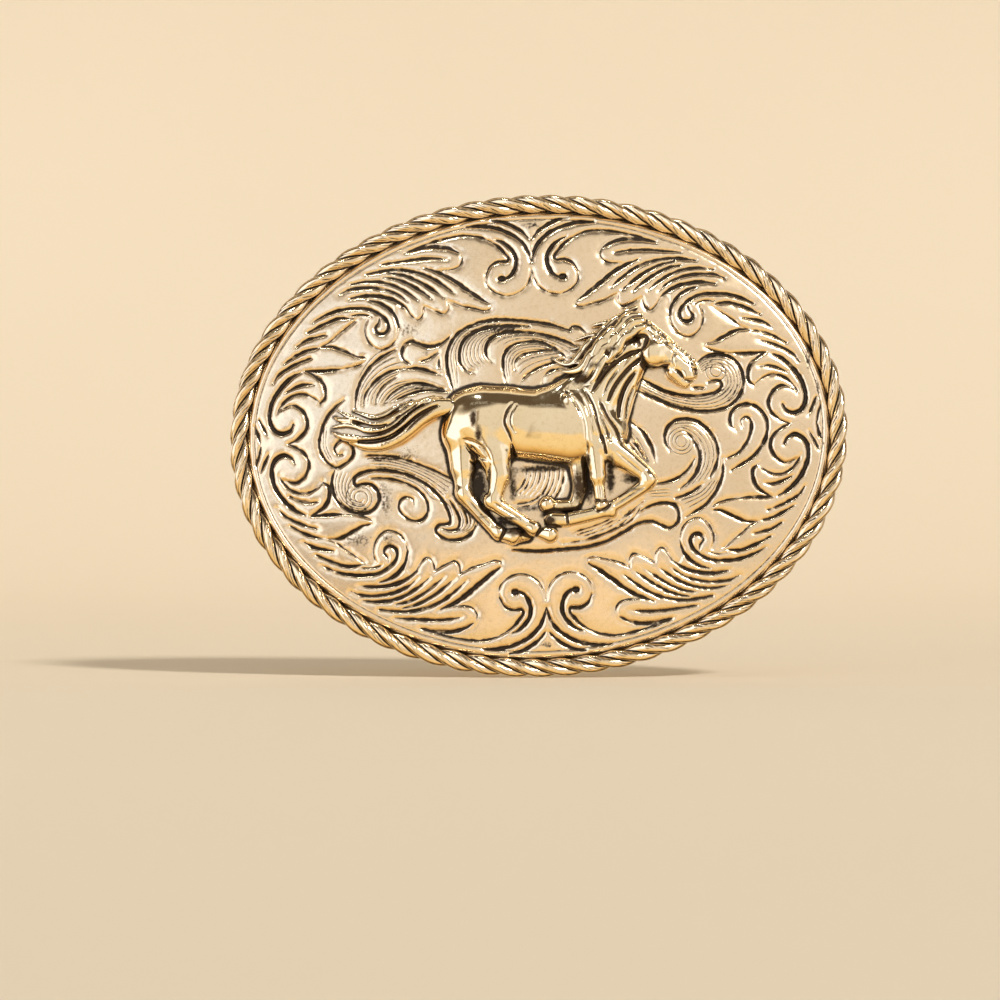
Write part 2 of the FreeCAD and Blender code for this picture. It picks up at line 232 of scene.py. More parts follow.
# Each cut is its half width and the points it runs through.
BORDER_CUTS = [
    # the fleur at the top
    (0.30, [(0.3, 31), (1.4, 32.2), (2.9, 33.2), (4.6, 33.9), (6, 34.1)]),
    (0.31, [(0.05, 27.2), (0.4, 28.6), (1, 29.9), (2, 31), (3.4, 32), (5.2, 32.8), (7.4, 33.25),
            (10, 33.3)]),
    (0.33, [(5.6, 31), (4.4, 30.5), (3.2, 29.4), (2.5, 28.1), (2.5, 26.7), (3.1, 25.3), (4.1, 24.6),
            (4.9, 24.6)]),
    (0.50, [(4.4, 24.55), (4.9, 24.6)]),
    (0.18, [(19.5, 29.8), (17, 30.6), (14, 31.4), (10.5, 31.9), (8, 31.5), (6.3, 30.7)]),
    (0.25, [(6.8, 31), (5.3, 30), (4.3, 28.9), (3.6, 27.9), (3.8, 27.4), (5.2, 27.4), (6.5, 26.7),
            (7.2, 25.4)]),
    (0.11, [(7.2, 25.4), (7.2, 24), (6.4, 22.8), (5, 22), (3.8, 21.8), (2.3, 22.2), (1, 23.2),
            (0.3, 24.6), (0, 25.9)]),
    # the finger and the wing, with its flutes
    (0.33, [(19.7, 29.6), (17.5, 30.1), (15, 30.3), (12.9, 29.9), (11.4, 29.1)]),
    (0.16, [(11.2, 29), (10.8, 28), (11.3, 27), (12.3, 26.5), (14.4, 26.4)]),
    (0.23, [(13.2, 28.15), (15.5, 28.4), (18.5, 28.35), (21, 28.1), (23.6, 27.8)]),
    (0.33, [(16.8, 26.9), (14.5, 26), (12.5, 24.8), (10.3, 23.1), (8.3, 21.6), (6.9, 20.7)]),
    (0.12, [(6.8, 20.6), (6.7, 19.9), (7.6, 19.6), (9.2, 20), (11.2, 20.5), (13.2, 21.4)]),
    (0.12, [(13.2, 21.4), (13.2, 20.2), (13.9, 19.4), (15.2, 19.8), (17.1, 20.8)]),
    (0.12, [(17.1, 20.8), (17.4, 19.3), (18.2, 18.6), (19.1, 19.3), (20, 20.7)]),
    (0.25, [(12.3, 22.6), (14, 24), (16, 25.4), (18.5, 26.4), (21.5, 26.9), (24, 26.7), (26, 26.4)]),
    (0.25, [(14, 22.1), (16, 23.6), (18, 24.9), (20.2, 25.9), (22.5, 26.4)]),
    (0.25, [(15.8, 21.9), (17.5, 23.2), (19.5, 24.5), (21.5, 25.4), (23.4, 25.7)]),
    (0.25, [(18.1, 21.9), (19.5, 23), (21.3, 24.1), (23.4, 24.9), (26, 25.2), (28.5, 24.9)]),
    (0.25, [(19.8, 21.8), (21.2, 22.9), (23, 23.7), (25.5, 24.2), (28.5, 24.1), (30.3, 23.4)]),
    # the curl and the spikes
    (0.30, [(19.8, 20.6), (21.8, 22), (24, 22.7), (26.5, 22.9), (28.7, 22.6)]),
    (0.30, [(25.8, 22.2), (24, 21.6), (22.6, 20.6), (21.6, 19.2), (21.2, 17.6)]),
    (0.13, [(21.2, 17.6), (21.7, 15.7), (22.9, 14.5), (24.3, 14.2), (25.6, 15), (26.4, 16.5), (26.5, 18),
            (26.1, 19.2)]),
    (0.27, [(34.6, 19.2), (32.8, 20.1), (30.5, 20.8), (28, 21), (26, 20.8), (24.2, 19.9), (23, 18.6),
            (22.9, 17.4),
            (23.6, 16.7), (24.5, 16.8), (24.9, 17.6), (24.4, 18.4), (24.2, 19.1)]),
    (0.15, [(25.4, 19.6), (27, 19.9), (28.5, 19.8)]),
    (0.27, [(28.2, 19.3), (30.5, 19.5), (33, 18.7), (35.5, 17.5)]),
    (0.13, [(28.1, 19), (29.5, 17.9), (31, 16.8), (32.3, 15.7), (33.6, 15.1)]),
    (0.27, [(33.6, 15.1), (32, 15.1), (30, 14.3), (28, 13.3), (26.8, 13.1)]),
    (0.13, [(26.6, 13), (26.6, 12.6), (27.2, 12.1), (29, 11.6), (30.5, 11.4)]),
    (0.27, [(30.2, 11.4), (33.5, 11.3), (36.1, 11.4)]),
    (0.30, [(36.1, 11.4), (34.8, 10.7), (33.6, 9.6), (33.1, 8.2), (33.2, 6.9), (34, 6.2)]),
    (0.20, [(34, 6.3), (35, 7.1), (36.5, 7.8), (38, 7.7), (39.3, 7), (40.5, 5.6), (40.8, 4.9)]),
    # the pair of curls at the side
    (0.26, [(39.8, 5.7), (38.3, 6.1), (36.8, 5.1), (36.1, 3.4), (36.5, 1.9), (37.8, 0.7), (39.3, 0)]),
    (0.36, [(36.9, 11.2), (38.4, 10.5), (40, 9), (41.3, 7.2), (42, 5), (41.9, 3.3), (41.1, 2.1),
            (39.9, 1.7),
            (38.8, 2.2), (38.3, 3.1)]),
    (0.25, [(34.9, 9.2), (36.2, 9.3), (37.8, 8.9), (39.3, 8.2)]),
    (0.25, [(32.7, 17), (34.2, 16.7), (35.8, 16.3), (37.3, 15.4)]),
    (0.25, [(34, 14.95), (35.6, 14.7), (37.3, 14), (39.4, 12.8)]),
    (0.24, [(35.2, 13.4), (36.8, 12.9), (38.8, 12), (40.4, 11), (41.2, 9.9)]),
    (0.25, [(42.3, 1.3), (43, 2.6), (43.7, 4.1)]),
    (0.24, [(43.5, -0.2), (43.9, 1.6), (44.4, 3)]),
]

# The scrolls round the horse aren't symmetrical.
PLUME_OUTER = [(-13, 7), (-13.4, 8.5), (-13.8, 10.5), (-13.9, 12.5), (-13.3, 14.5), (-12, 16.2),
               (-10, 17.3),
               (-8, 17.9), (-6, 18.1), (-3, 17.9), (0, 17.5), (3, 16.8), (5.5, 15.9)]
PLUME_SECOND = [(-9.7, 9.9), (-10.7, 10.1), (-11.7, 11.3), (-11.9, 13), (-11.3, 14.8), (-9.8, 16.1),
                (-7.8, 16.8),
                (-5, 17.1), (-2.5, 17), (-0.9, 16.8)]
PLUME_THIRD = [(-6.9, 11.5), (-7.5, 12.1), (-7.8, 13.3), (-7.3, 14.7), (-5.8, 15.7), (-3.5, 16),
               (-0.5, 15.8),
               (2, 15.2), (4.5, 14.3), (6.8, 13.2)]
PLUME_FOURTH = [(-4.8, 8.2), (-5.1, 10), (-5.1, 11.8), (-4.4, 13.3), (-3, 14.1), (-1, 14.4), (0.8, 14.2),
                (2.5, 13.5), (3.8, 12.6), (4.7, 11.7)]
PLUME_FIFTH = [(-3.3, 10), (-3.3, 11.2), (-2.5, 12.1), (-1, 12.6), (1, 12.8), (2.6, 12.9)]
PLUME_SIXTH = [(-2.6, 8), (-1.5, 9.1), (0, 10), (2, 10.7), (4.6, 11.3)]
TAIL_FEATHERS = [
    [(-21.9, 14.1), (-24, 13.1), (-26, 11.5), (-27.6, 9.2), (-28.3, 7), (-28.5, 5.2)],
    [(-20.5, 11.1), (-23, 10.6), (-25.3, 9.2), (-26.8, 7.3), (-27.2, 5.6)],
    [(-21.8, 9.9), (-23.8, 8.6), (-25, 7), (-25.3, 5.8)],
    [(-14.5, 7.4), (-17, 8.3), (-19.5, 8.6), (-21.8, 7.8), (-23.3, 6.6), (-24, 5.7)],
    [(-13.8, 6.9), (-17, 7.4), (-20, 6.9), (-22.8, 5.8)],
]
SCROLL_BACK = [(-32, -4.2), (-32.6, -6), (-32.3, -8.4), (-30.9, -10.3), (-28.7, -11.3), (-26.6, -11),
               (-25.4, -9.6),
               (-25.5, -8), (-26.5, -6.9), (-28, -6.8), (-28.9, -6.9), (-29.1, -5.9), (-28.2, -5.1),
               (-26, -4.7),
               (-23, -5), (-20, -6), (-17.5, -7.6), (-15.6, -9.7), (-14.5, -12), (-14.4, -13.3),
               (-15, -13.6),
               (-16.2, -13.7), (-16.7, -14.6), (-16, -15.5), (-14.3, -16.1), (-12.4, -15.9), (-11, -15),
               (-10.5, -14)]
SCROLL_TOP = [(-27, -2.3), (-24, -2.5), (-20.5, -3.5), (-17, -5), (-13.5, -6.8)]
SCROLL_EYE = [(-26.5, -5.9), (-24, -6.1), (-21, -7), (-18.8, -8.5), (-17.8, -10.3), (-17.9, -11.8),
              (-18.9, -12.8),
              (-20.3, -12.8), (-21.6, -12), (-22.3, -10.8), (-21.9, -9.5), (-20.9, -9.1), (-20, -9.6),
              (-19.9, -10.4)]
SCROLL_HOOK = [(-14.5, -9.7), (-13.5, -11.3), (-12.9, -13.2), (-13.3, -14.4), (-14.6, -14.6),
               (-15.6, -14.3)]
NOSE_OUTER = [(15.5, 6), (18, 4.8), (21, 3.4), (24, 2.6), (27, 2.4), (29.7, 3), (31.4, 4.4), (32.3, 6.6),
              (32.1, 8.7), (30.9, 10.5), (28.8, 11.3), (26.6, 11), (25.2, 10.1)]
NOSE_INNER = [(16.2, 8), (18, 6.8), (20.5, 5.6), (23.5, 4.9), (26.5, 5), (28.4, 5.6), (28.9, 6.6),
              (28.2, 7.2),
              (26.8, 7)]
CHEST_SCROLL = [(20.3, -3.7), (19.6, -2), (19.9, -0.2), (21, 0.9), (22.8, 1.3), (24.8, 0.8), (26.6, -0.8),
                (27.7, -3), (27.6, -5.6), (26.4, -8)]
CHEST_INNER = [(22.8, -0.7), (24, -2), (24.8, -3.8), (24.8, -5.8), (23.6, -8), (21.6, -9.6)]
LEAF_BELOW = [(15, -13), (16.8, -12.1), (18.8, -11.7), (20.6, -12.1), (21.2, -13.3), (21, -14.8),
              (19.8, -15.6),
              (18.5, -15.2), (17, -14.5), (15, -14.7), (12.5, -16), (10, -17.2), (7, -18), (3, -18.3),
              (-1, -18.4),
              (-5, -18)]

CENTRE_CUTS = [
    (0.27, PLUME_OUTER),
    (0.25, PLUME_SECOND),
    (0.26, PLUME_THIRD),
    (0.25, PLUME_FOURTH),
    (0.22, PLUME_FIFTH),
    (0.22, PLUME_SIXTH),
    (0.24, [(5.4, 15.9), (5.9, 16.5), (6.9, 16.4), (8, 15.5)]),
    (0.20, [(0.8, 7.8), (1.3, 9), (2.8, 9.8), (4.5, 9.9)]),
    # the leaf left of the plume
    (0.26, [(-13, 16), (-14.5, 14.8), (-16.5, 14.3), (-18.3, 14.9), (-19.3, 15.3), (-20.4, 14.8),
            (-20.9, 13.5),
            (-20.6, 12.4), (-19.8, 11.8)]),
    (0.17, [(-18, 12), (-16.5, 12.5), (-15.2, 13.4)]),
    (0.20, [(-15.1, 12.3), (-15.2, 10.9)]),
    (0.28, [(-20.2, 11), (-18, 10.9), (-16.2, 10.2), (-15, 9.8)]),
    (0.24, TAIL_FEATHERS[0]),
    (0.22, TAIL_FEATHERS[1]),
    (0.18, TAIL_FEATHERS[2]),
    (0.22, TAIL_FEATHERS[3]),
    (0.20, TAIL_FEATHERS[4]),
    # the curl round the tail's tip
    (0.23, [(-30.2, 6.6), (-31.5, 5.6), (-33.2, 3.6), (-34.2, 1), (-34.3, -1), (-33.3, -3), (-31.8, -4),
            (-30.2, -3.3), (-29.1, -2.1), (-29.2, -0.7), (-30.3, 0.3), (-31.4, 0), (-32, -1), (-31.6, -2),
            (-30.8, -2)]),
    (0.27, SCROLL_BACK),
    (0.18, SCROLL_TOP),
    (0.22, SCROLL_EYE),
    (0.22, SCROLL_HOOK),
    (0.27, NOSE_OUTER),
    (0.27, NOSE_INNER),
    (0.24, [(24.3, 6.2), (26, 6.1)]),
    # the small curl at the right
    (0.27, [(31, -1), (30.1, 0), (30, 1.6), (31, 2.9), (32.8, 3.3), (34.6, 2.5), (35.7, 0.8), (35.6, -1.5),
            (34.6, -3.5), (32.8, -5.3), (29.8, -7)]),
    (0.25, [(31.8, -0.3), (31.6, 0.8), (32.4, 1.3), (33.2, 0.6), (33.1, -1), (32.3, -2.8), (31, -4.3),
            (29.2, -5.1)]),
    (0.28, CHEST_SCROLL),
    (0.22, CHEST_INNER),
    (0.20, [(24.1, -5), (23, -6.6), (21.3, -7.9), (19.5, -8.5), (17.8, -8.7)]),
    (0.24, [(25.2, -9), (23, -10.4), (20.8, -11)]),
    (0.26, [(28.5, -5), (28.4, -7.5), (27.3, -10), (25.5, -12.2), (22.4, -14)]),
    (0.27, [(14.5, 1), (16.2, -0.6), (17.4, -2.8), (17.9, -5.2)]),
    (0.27, LEAF_BELOW),
    (0.13, [(15.5, -12), (14, -14), (11, -15.6), (7, -16.9), (3, -17.4)]),
]


# Fans of thinner cuts: half width, the first and the last cut, and how many lie between them.
FANS = [
    (0.10, [(-4.8, -9), (-3.9, -8.2), (-3.2, -7), (-2.9, -5.6)], [(2.4, -11), (3.5, -9.4), (4.2, -7.6),
                                                                  (4.4, -6)], 9),
    (0.11, [(-4.6, -10.6), (-2, -10.2), (0, -9)], [(-3.6, -12), (-1, -11.6), (1, -10.6)], 2),
    (0.08, [(14.8, -13.4), (13, -15), (10.6, -16.2), (7.6, -17.2)], [(9.6, -14), (8, -14.4), (6, -14.9),
                                                                     (3.6, -15.4)], 4),
    (0.09, [(13.4, -13.2), (12.8, -13.9), (11.4, -14.5)], [(16.4, -10.6), (15.4, -11.6), (14, -12.3)], 3),
    (0.11, [(13.4, -4), (14.6, -5), (15.4, -5.8)], [(14.4, -0.6), (15.6, -2.4), (16.4, -4.4)], 3),
    (0.11, [(-13.4, -10.4), (-12.4, -12), (-12, -13.8)], [(-11.4, -11.6), (-10.8, -12.8),
                                                          (-10.8, -14.2)], 2),
    (0.12, [(1.2, 7.6), (2.2, 8.6), (3.8, 9.1)], [(3, 7.4), (3.8, 7.9), (4.8, 8.1)], 1),
]


def ring_points(centre, radius, turns, start):
    """A spiral hairline that fills a scroll's eye."""
    t = np.linspace(0, 1, int(24 * turns))[:, None]
    angle = start + FULL_TURN * turns * t
    reach = radius * (1 - (1 - SPIRAL_END) * t)
    return np.hstack([centre[0] + reach * np.cos(angle), centre[1] + reach * np.sin(angle)])


def fine_lines():
    """The hairlines that fill the plumes, the feathers and the scrolls."""
    lines = []
    lines += between(PLUME_SECOND[:-1], PLUME_THIRD[:6], 6)
    lines += between(PLUME_OUTER[:9], [(-12, 8)] + PLUME_SECOND[2:8], 2)
    lines += between(PLUME_THIRD[3:], PLUME_FOURTH[3:], 2)
    lines += between(PLUME_FOURTH, PLUME_FIFTH, 3)
    lines += between(PLUME_FIFTH[1:], PLUME_SIXTH, 2)
    for upper, lower in zip(TAIL_FEATHERS, TAIL_FEATHERS[1:]):
        lines += between(upper, lower, 2)
    lines += between(SCROLL_TOP, SCROLL_BACK[13:18], 4)
    lines += between(SCROLL_BACK[14:20], SCROLL_EYE[1:5] + SCROLL_HOOK[:2], 1)
    lines += between([(-9.5, -11.5), (-9.6, -14), (-11.5, -15.4)], SCROLL_HOOK[1:5], 5)
    lines += between(NOSE_OUTER[:8], NOSE_INNER[:6], 4)
    lines += between(NOSE_OUTER[5:], [(28.4, 5.6), (29.4, 6.8), (28.8, 8.2), (27, 8.8), (26, 8.2)], 5)
    lines += between(CHEST_SCROLL[3:], CHEST_INNER, 4)
    lines += between([(13.6, -2.6), (15.2, -4.6), (16.8, -6)], [(14.4, 0.4), (16, -2), (17, -5)], 4)
    lines += between([(16.5, -9.5), (18.5, -9.2), (20, -9.2)], [(16.8, -11), (18.4, -11.2), (20, -11.2)], 3)
    lines += between(SCROLL_BACK[:6], [(-28.5, -5.6), (-29.6, -7), (-29.6, -8.6), (-28, -9.6)], 5)
    lines += between(TAIL_FEATHERS[0][:4], [(-22.4, 15.6), (-24.8, 14.6), (-26.8, 12.6), (-28.2, 10.2)], 1)
    lines += between([(26.2, -8.6), (24, -10.2), (21, -10.8)], [(28.4, -8), (26.6, -11), (23.4, -13.2)], 3)
    lines += between([(-34, 3), (-34, -1), (-33, -3.2)], [(-32.6, 2.4), (-32.9, -0.6), (-32, -2.8)], 2)
    lines.append(ring_points((-28.3, -8.9), 2.3, 2.6, 2.0))
    lines.append(ring_points((22.2, -2.3), 2.3, 3.0, 1.0))
    lines.append(ring_points((28.2, 8.6), 2.1, 2.2, 0.0))
    return lines


# Soft dark speckled patches that the antiquing left, and a painted dark reflection along the right rim:
# middle, size along X and Z, and strength.
STAINS_AND_DARK_REFLECTION = [
    ((0, 33), (1.6, 0.6), 1.0), ((0, -33), (1.6, 0.6), 0.8), ((-20, 17), (3, 1.6), 0.6), ((-17.5, 7.6),
                                                                                          (2.4, 0.7), 0.5),
    ((-24.5, -9.5), (1.6, 3.6), 0.7), ((-29, -15.5), (3.4, 1.6), 0.7), ((-20, -1.8), (2.2, 1), 0.5),
    ((-24, -16), (1.2, 1.8), 0.6), ((-24, -3.2), (4, 0.9), 0.35), ((11.5, 13), (2.6, 0.9), 0.5),
    ((-16, -3.5), (1.2, 1.4), 0.3), ((21, -11.7), (0.8, 0.4), 0.6), ((24, 18), (0.9, 0.9), 0.25),
    # The first two patches below, at x 42.7 and 44, are a painted dark reflection along the right rim, not
    # stains.
    ((42.7, 10), (0.5, 2.6), 0.9), ((44, 5.6), (0.4, 2), 0.8), ((-17, 13.2), (1.6, 0.5), 0.5),
    ((-20, 8), (2.6, 0.5), 0.6), ((-23, -2.9), (4, 0.4), 0.7), ((-15, -9), (0.8, 2), 0.4),
]

# Painted shade in the hollows under and beside the horse, laid on the plate: middle, size along X and Z, and
# strength.
HORSE_SHADOWS = [
    ((-9.8, -8.2), (1.7, 3.2), 1.0), ((10.8, -7.6), (0.8, 2.8), 0.9), ((14.2, -7.7), (2.0, 1.0), 0.9),
    ((0.6, -5.7), (5.4, 0.7), 0.9), ((7.4, -8.4), (0.9, 3.4), 0.95), ((-4.4, -8.4), (0.8, 2.6), 0.85),
    ((1.2, -12.9), (1.8, 0.8), 1.0), ((-2.4, -15.5), (2.4, 0.8), 0.85), ((-5.6, -13.5), (2.6, 1.2), 0.9),
    ((6.6, 8.6), (1.6, 1.4), 0.9), ((-2.2, -11.8), (2.2, 0.6), 0.7), ((3.4, -10.6), (1.6, 0.5), 0.6),
    ((-3.2, -13.8), (1.6, 0.5), 0.6), ((12.4, -5.6), (1.6, 0.6), 0.7),
]

BAND_HEIGHT = 0.26
BORDER_BOLDNESS = 1.05
CENTRE_BOLDNESS = 1.0
SHOULDER = 0.23
SHOULDER_REACH = 0.34
CUT_SLOPE = 1.25
CUT_DEPTH = 0.42
HAIR_WIDTH = 0.065
SPIRAL_END = 0.25
HAIR_DEPTH = 0.10
RIM_GROOVE = 0.25
LIP_AT, LIP_WIDTH, LIP_HEIGHT = 0.58, 0.22, 0.10
LINE_AT, LINE_WIDTH, LINE_DEPTH = 1.0, 0.12, 0.14
BAND_SOFTNESS = 0.17
WAVE_SIZE, WAVE_HEIGHT = 0.9, 0.010
RIPPLE_SIZE, RIPPLE_HEIGHT = 0.28, 0.0035
CUT_WANDER = 0.035
WEAR_SIZE = 0.45
SHADOW_SHARPNESS = 1.3


def full_outline(quarter):
    """A closed outline from one quarter of it, which runs from the +Z axis to the +X axis."""
    q = np.array(quarter, float)
    right = np.vstack([q, q[::-1] * [1, -1]])
    return np.vstack([right, right[::-1] * [-1, 1]])


def soft_patches(patches, sharpness=1.0):
    """A raster of soft oval patches, each given by its middle, its size and its strength."""
    total = np.zeros(GRID_X.shape)
    for (x, z), (wide, high), strength in patches:
        away = ((GRID_X - x) / wide) ** 2 + ((GRID_Z - z) / high) ** 2
        total += strength * np.exp(-(away**sharpness))
    return total


def make_relief():
    """Rasters of the plate's relief height and of how dark it is: antiquing and stains, painted shade round
    the horse and a painted dark reflection at the rim.
    """
    border = empty_field()
    for half_width, points in BORDER_CUTS:
        stroke(border, curve(points), half_width * BORDER_BOLDNESS)
    cuts = mirrored(border)
    for half_width, points in CENTRE_CUTS:
        stroke(cuts, curve(points), half_width * CENTRE_BOLDNESS)
    for half_width, first, second, count in FANS:
        for line in between(first, second, count):
            stroke(cuts, line, half_width, taper=1.0)
    hairs = empty_field()
    for line in fine_lines():
        stroke(hairs, line, HAIR_WIDTH, taper=0.8)

    field_outline = full_outline(curve(BORDER_EDGE, 0.4))
    band = soften(1 - inside(field_outline), BAND_SOFTNESS)
    random = np.random.default_rng(7)
    waves = soften(random.standard_normal(GRID_X.shape), WAVE_SIZE)
    ripples = soften(random.standard_normal(GRID_X.shape), RIPPLE_SIZE)
    grain = random.random(GRID_X.shape)
    wear = soften(random.standard_normal(GRID_X.shape), WEAR_SIZE)
    cuts += CUT_WANDER * ripples / ripples.std()

    height = BAND_HEIGHT * band
    height -= SHOULDER * np.exp(-np.clip(cuts, 0, None) / SHOULDER_REACH)
    height -= np.clip(-cuts * CUT_SLOPE, 0, CUT_DEPTH)
    height -= HAIR_DEPTH * np.clip(1 - (hairs + HAIR_WIDTH) / 0.17, 0, 1)
    height += WAVE_HEIGHT * waves / waves.std() + RIPPLE_HEIGHT * ripples / ripples.std()

    rim = rim_distance(GRID_X, GRID_Z)
    height += LIP_HEIGHT * np.exp(-(((rim - LIP_AT) / LIP_WIDTH) ** 2))
    height -= RIM_GROOVE * smooth_step(rim, 0.28, 0.04)
    height -= LINE_DEPTH * np.exp(-(((rim - LINE_AT) / LINE_WIDTH) ** 2))

    shadows = soft_patches(HORSE_SHADOWS, SHADOW_SHARPNESS)
    stains_and_reflection = soft_patches(STAINS_AND_DARK_REFLECTION)
    speckle = smooth_step(soften(grain, 0.08), 0.42, 0.60)
    dark = smooth_step(-cuts, -0.04, 0.07) * (1 - 0.4 * smooth_step(wear / wear.std(), 0.8, 2.4))
    dark = np.maximum(dark, 0.75 * smooth_step(-hairs, -0.07, 0.03))
    dark = np.maximum(dark, 0.7 * smooth_step(rim, 0.16, 0.05))
    dark = np.maximum(dark, 0.75 * np.exp(-(((rim - LINE_AT) / LINE_WIDTH) ** 2)))
    # Stains, and a painted dark reflection along the right rim.
    dark = np.maximum(dark, np.clip(1.2 * stains_and_reflection, 0, 0.9) * (0.40 + 0.40 * speckle))
    # Painted shade in the hollows round and under the horse.
    dark = np.maximum(dark, np.clip(shadows, 0, 1) * (0.8 + 0.2 * speckle))
    hollows = np.clip(soften(height, 0.5) - height - 0.05, 0, 0.12) / 0.12
    dark = np.maximum(dark, 0.35 * hollows)
    return height, np.clip(dark, 0, 1)


# ---------------------------------------------------------------- meshes

def make_piece(name, vertices, faces, patina_and_shade=None):
    """A smooth-shaded mesh object from points in millimetres."""
    mesh = bpy.data.meshes.new(name)
    mesh.from_pydata((vertices * MM).tolist(), [], faces)
    if patina_and_shade is not None:
        layer = mesh.attributes.new("patina_and_shade", "FLOAT", "POINT")
        layer.data.foreach_set("value", patina_and_shade.astype(np.float32))
    mesh.polygons.foreach_set("use_smooth", np.ones(len(mesh.polygons), bool))
    mesh.update()
    piece = bpy.data.objects.new(name, mesh)
    bpy.context.scene.collection.objects.link(piece)
    return piece


def disc_points(across, up):
    """A grid of points that fills the unit disc evenly, row by row, by the concentric map of a square."""
    u, v = np.meshgrid(np.linspace(-1, 1, across), np.linspace(-1, 1, up))
    wide = np.abs(u) > np.abs(v)
    safe_u = np.where(u == 0, 1, u)
    safe_v = np.where(v == 0, 1, v)
    reach = np.where(wide, u, v)
    angle = np.where(wide, math.pi / 4 * v / safe_u, math.pi / 2 - math.pi / 4 * u / safe_v)
    return reach * np.cos(angle), reach * np.sin(angle)


def grid_faces(rows, columns, first=0, closed=False):
    """Quads between the rows of a grid of vertices. A closed grid joins its last column to its first."""
    i = np.arange(rows - 1)[:, None] * columns
    j = np.arange(columns if closed else columns - 1)[None, :]
    next_j = (j + 1) % columns
    corners = [i + j, i + next_j, i + columns + next_j, i + columns + j]
    quads = np.stack([np.broadcast_to(corner, (rows - 1, j.size)) for corner in corners], -1)
    return (quads.reshape(-1, 4) + first).tolist()


PLATE_COLUMNS, PLATE_ROWS = 640, 496
BACK_RINGS = 70
CASTING_ROUGHNESS = 0.018


def make_plate(height, dark):
    """The face plate as one closed mesh: engraved front, upright edge, flange and hammered cast back."""
    across, up = PLATE_COLUMNS, PLATE_ROWS
    disc_x, disc_z = disc_points(across, up)
    x = (disc_x * PLATE_HALF[0]).ravel()
    z = (disc_z * PLATE_HALF[1]).ravel()
    y = front_y(x, z) - read_raster(height, x, z)
    front = np.stack([x, y, z], 1)
    patina_and_shade = read_raster(dark, x, z)

    ids = np.arange(across * up).reshape(up, across)
    loop = np.concatenate([ids[0, :-1], ids[:-1, -1], ids[-1, :0:-1], ids[:0:-1, 0]])
    unit_x, unit_z = disc_x.ravel()[loop], disc_z.ravel()[loop]

    # Each ring round the edge and the back: its half sizes, where it lies along Y, and how dark it is.
    edge = np.array([1.0, 1.0])
    rings = [
        (PLATE_HALF, -1.7, 0.3),
        (PLATE_HALF, -FLANGE_THICKNESS, 0.6),
        (FLANGE_HALF - 0.15 * edge, -FLANGE_THICKNESS, 0.5),
        (FLANGE_HALF - 0.04 * edge, -FLANGE_THICKNESS + 0.04, 0.3),
        (FLANGE_HALF, -FLANGE_THICKNESS + 0.15, 0.1),
        (FLANGE_HALF, -0.15, 0.1),
        (FLANGE_HALF - 0.04 * edge, -0.04, 0.0),
        (FLANGE_HALF - 0.15 * edge, 0.0, 0.0),
        (FLANGE_HALF - (FLANGE_WIDTH - 0.12) * edge, 0.0, 0.05),
        (FLANGE_HALF - FLANGE_WIDTH * edge, -0.06, 0.3),
    ]
    points = [
        np.stack([half[0] * unit_x, np.full(loop.size, depth), half[1] * unit_z], 1)
        for half, depth, _ in rings
    ]
    shades = [np.full(loop.size, shade) for _, _, shade in rings]
    back_half = FLANGE_HALF - FLANGE_WIDTH * edge - 0.1
    random = np.random.default_rng(11)
    casting = soften(random.standard_normal(GRID_X.shape), 0.45)
    casting *= CASTING_ROUGHNESS / casting.std()
    for share in np.linspace(1, 0.012, BACK_RINGS):
        ring_x, ring_z = back_half[0] * share * unit_x, back_half[1] * share * unit_z
        bump = read_raster(casting, ring_x, ring_z)
        points.append(np.stack([ring_x, -dome_height(ring_x, ring_z) + bump, ring_z], 1))
        shades.append(np.clip(0.12 - bump * 6, 0, 0.4))
    middle = np.array([[0, -DOME_RISE, 0]])

    vertices = np.vstack([front, *points, middle])
    patina_and_shade = np.concatenate([patina_and_shade, *shades, [0.1]])
    faces = grid_faces(up, across)
    first = front.shape[0]
    count = loop.size
    step = (np.arange(count) + 1) % count
    faces += np.stack([loop, first + np.arange(count), first + step, loop[step]], 1).tolist()
    faces += [f[::-1] for f in grid_faces(len(points), count, first, closed=True)]
    last = first + (len(points) - 1) * count
    faces += np.stack([last + step, last + np.arange(count), np.full(count, len(vertices) - 1)], 1).tolist()
    return make_piece("engraved_plate", vertices, faces, patina_and_shade)


def rope_path(count):
    """Evenly spaced places round the rope's middle line, as points and outward directions in the XZ plane."""
    angle = np.linspace(0, FULL_TURN, 8 * count + 1)
    line = np.stack([ROPE_HALF[0] * np.cos(angle), ROPE_HALF[1] * np.sin(angle)], 1)
    along = lengths_along(line)
    at = np.interp(np.arange(count) * along[-1] / count, along, angle)
    middle = np.stack([ROPE_HALF[0] * np.cos(at), ROPE_HALF[1] * np.sin(at)], 1)
    outward = np.stack([ROPE_HALF[1] * np.cos(at), ROPE_HALF[0] * np.sin(at)], 1)
    return middle, outward / np.linalg.norm(outward, axis=1)[:, None]


STEPS_PER_TURN = 60
LOBE_POINTS = 27
LOBE_HALF_ANGLE = math.radians(58.5)
LOBE_SWELL = 1.02
NICK_ANGLE, NICK_WIDTH, NICK_DEPTH = 0.12, 0.10, 0.12
STREAK_ANGLES = (-0.62, -0.28, 0.34, 0.64)
STREAK_WIDTH, STREAK_DEPTH = 0.05, 0.05


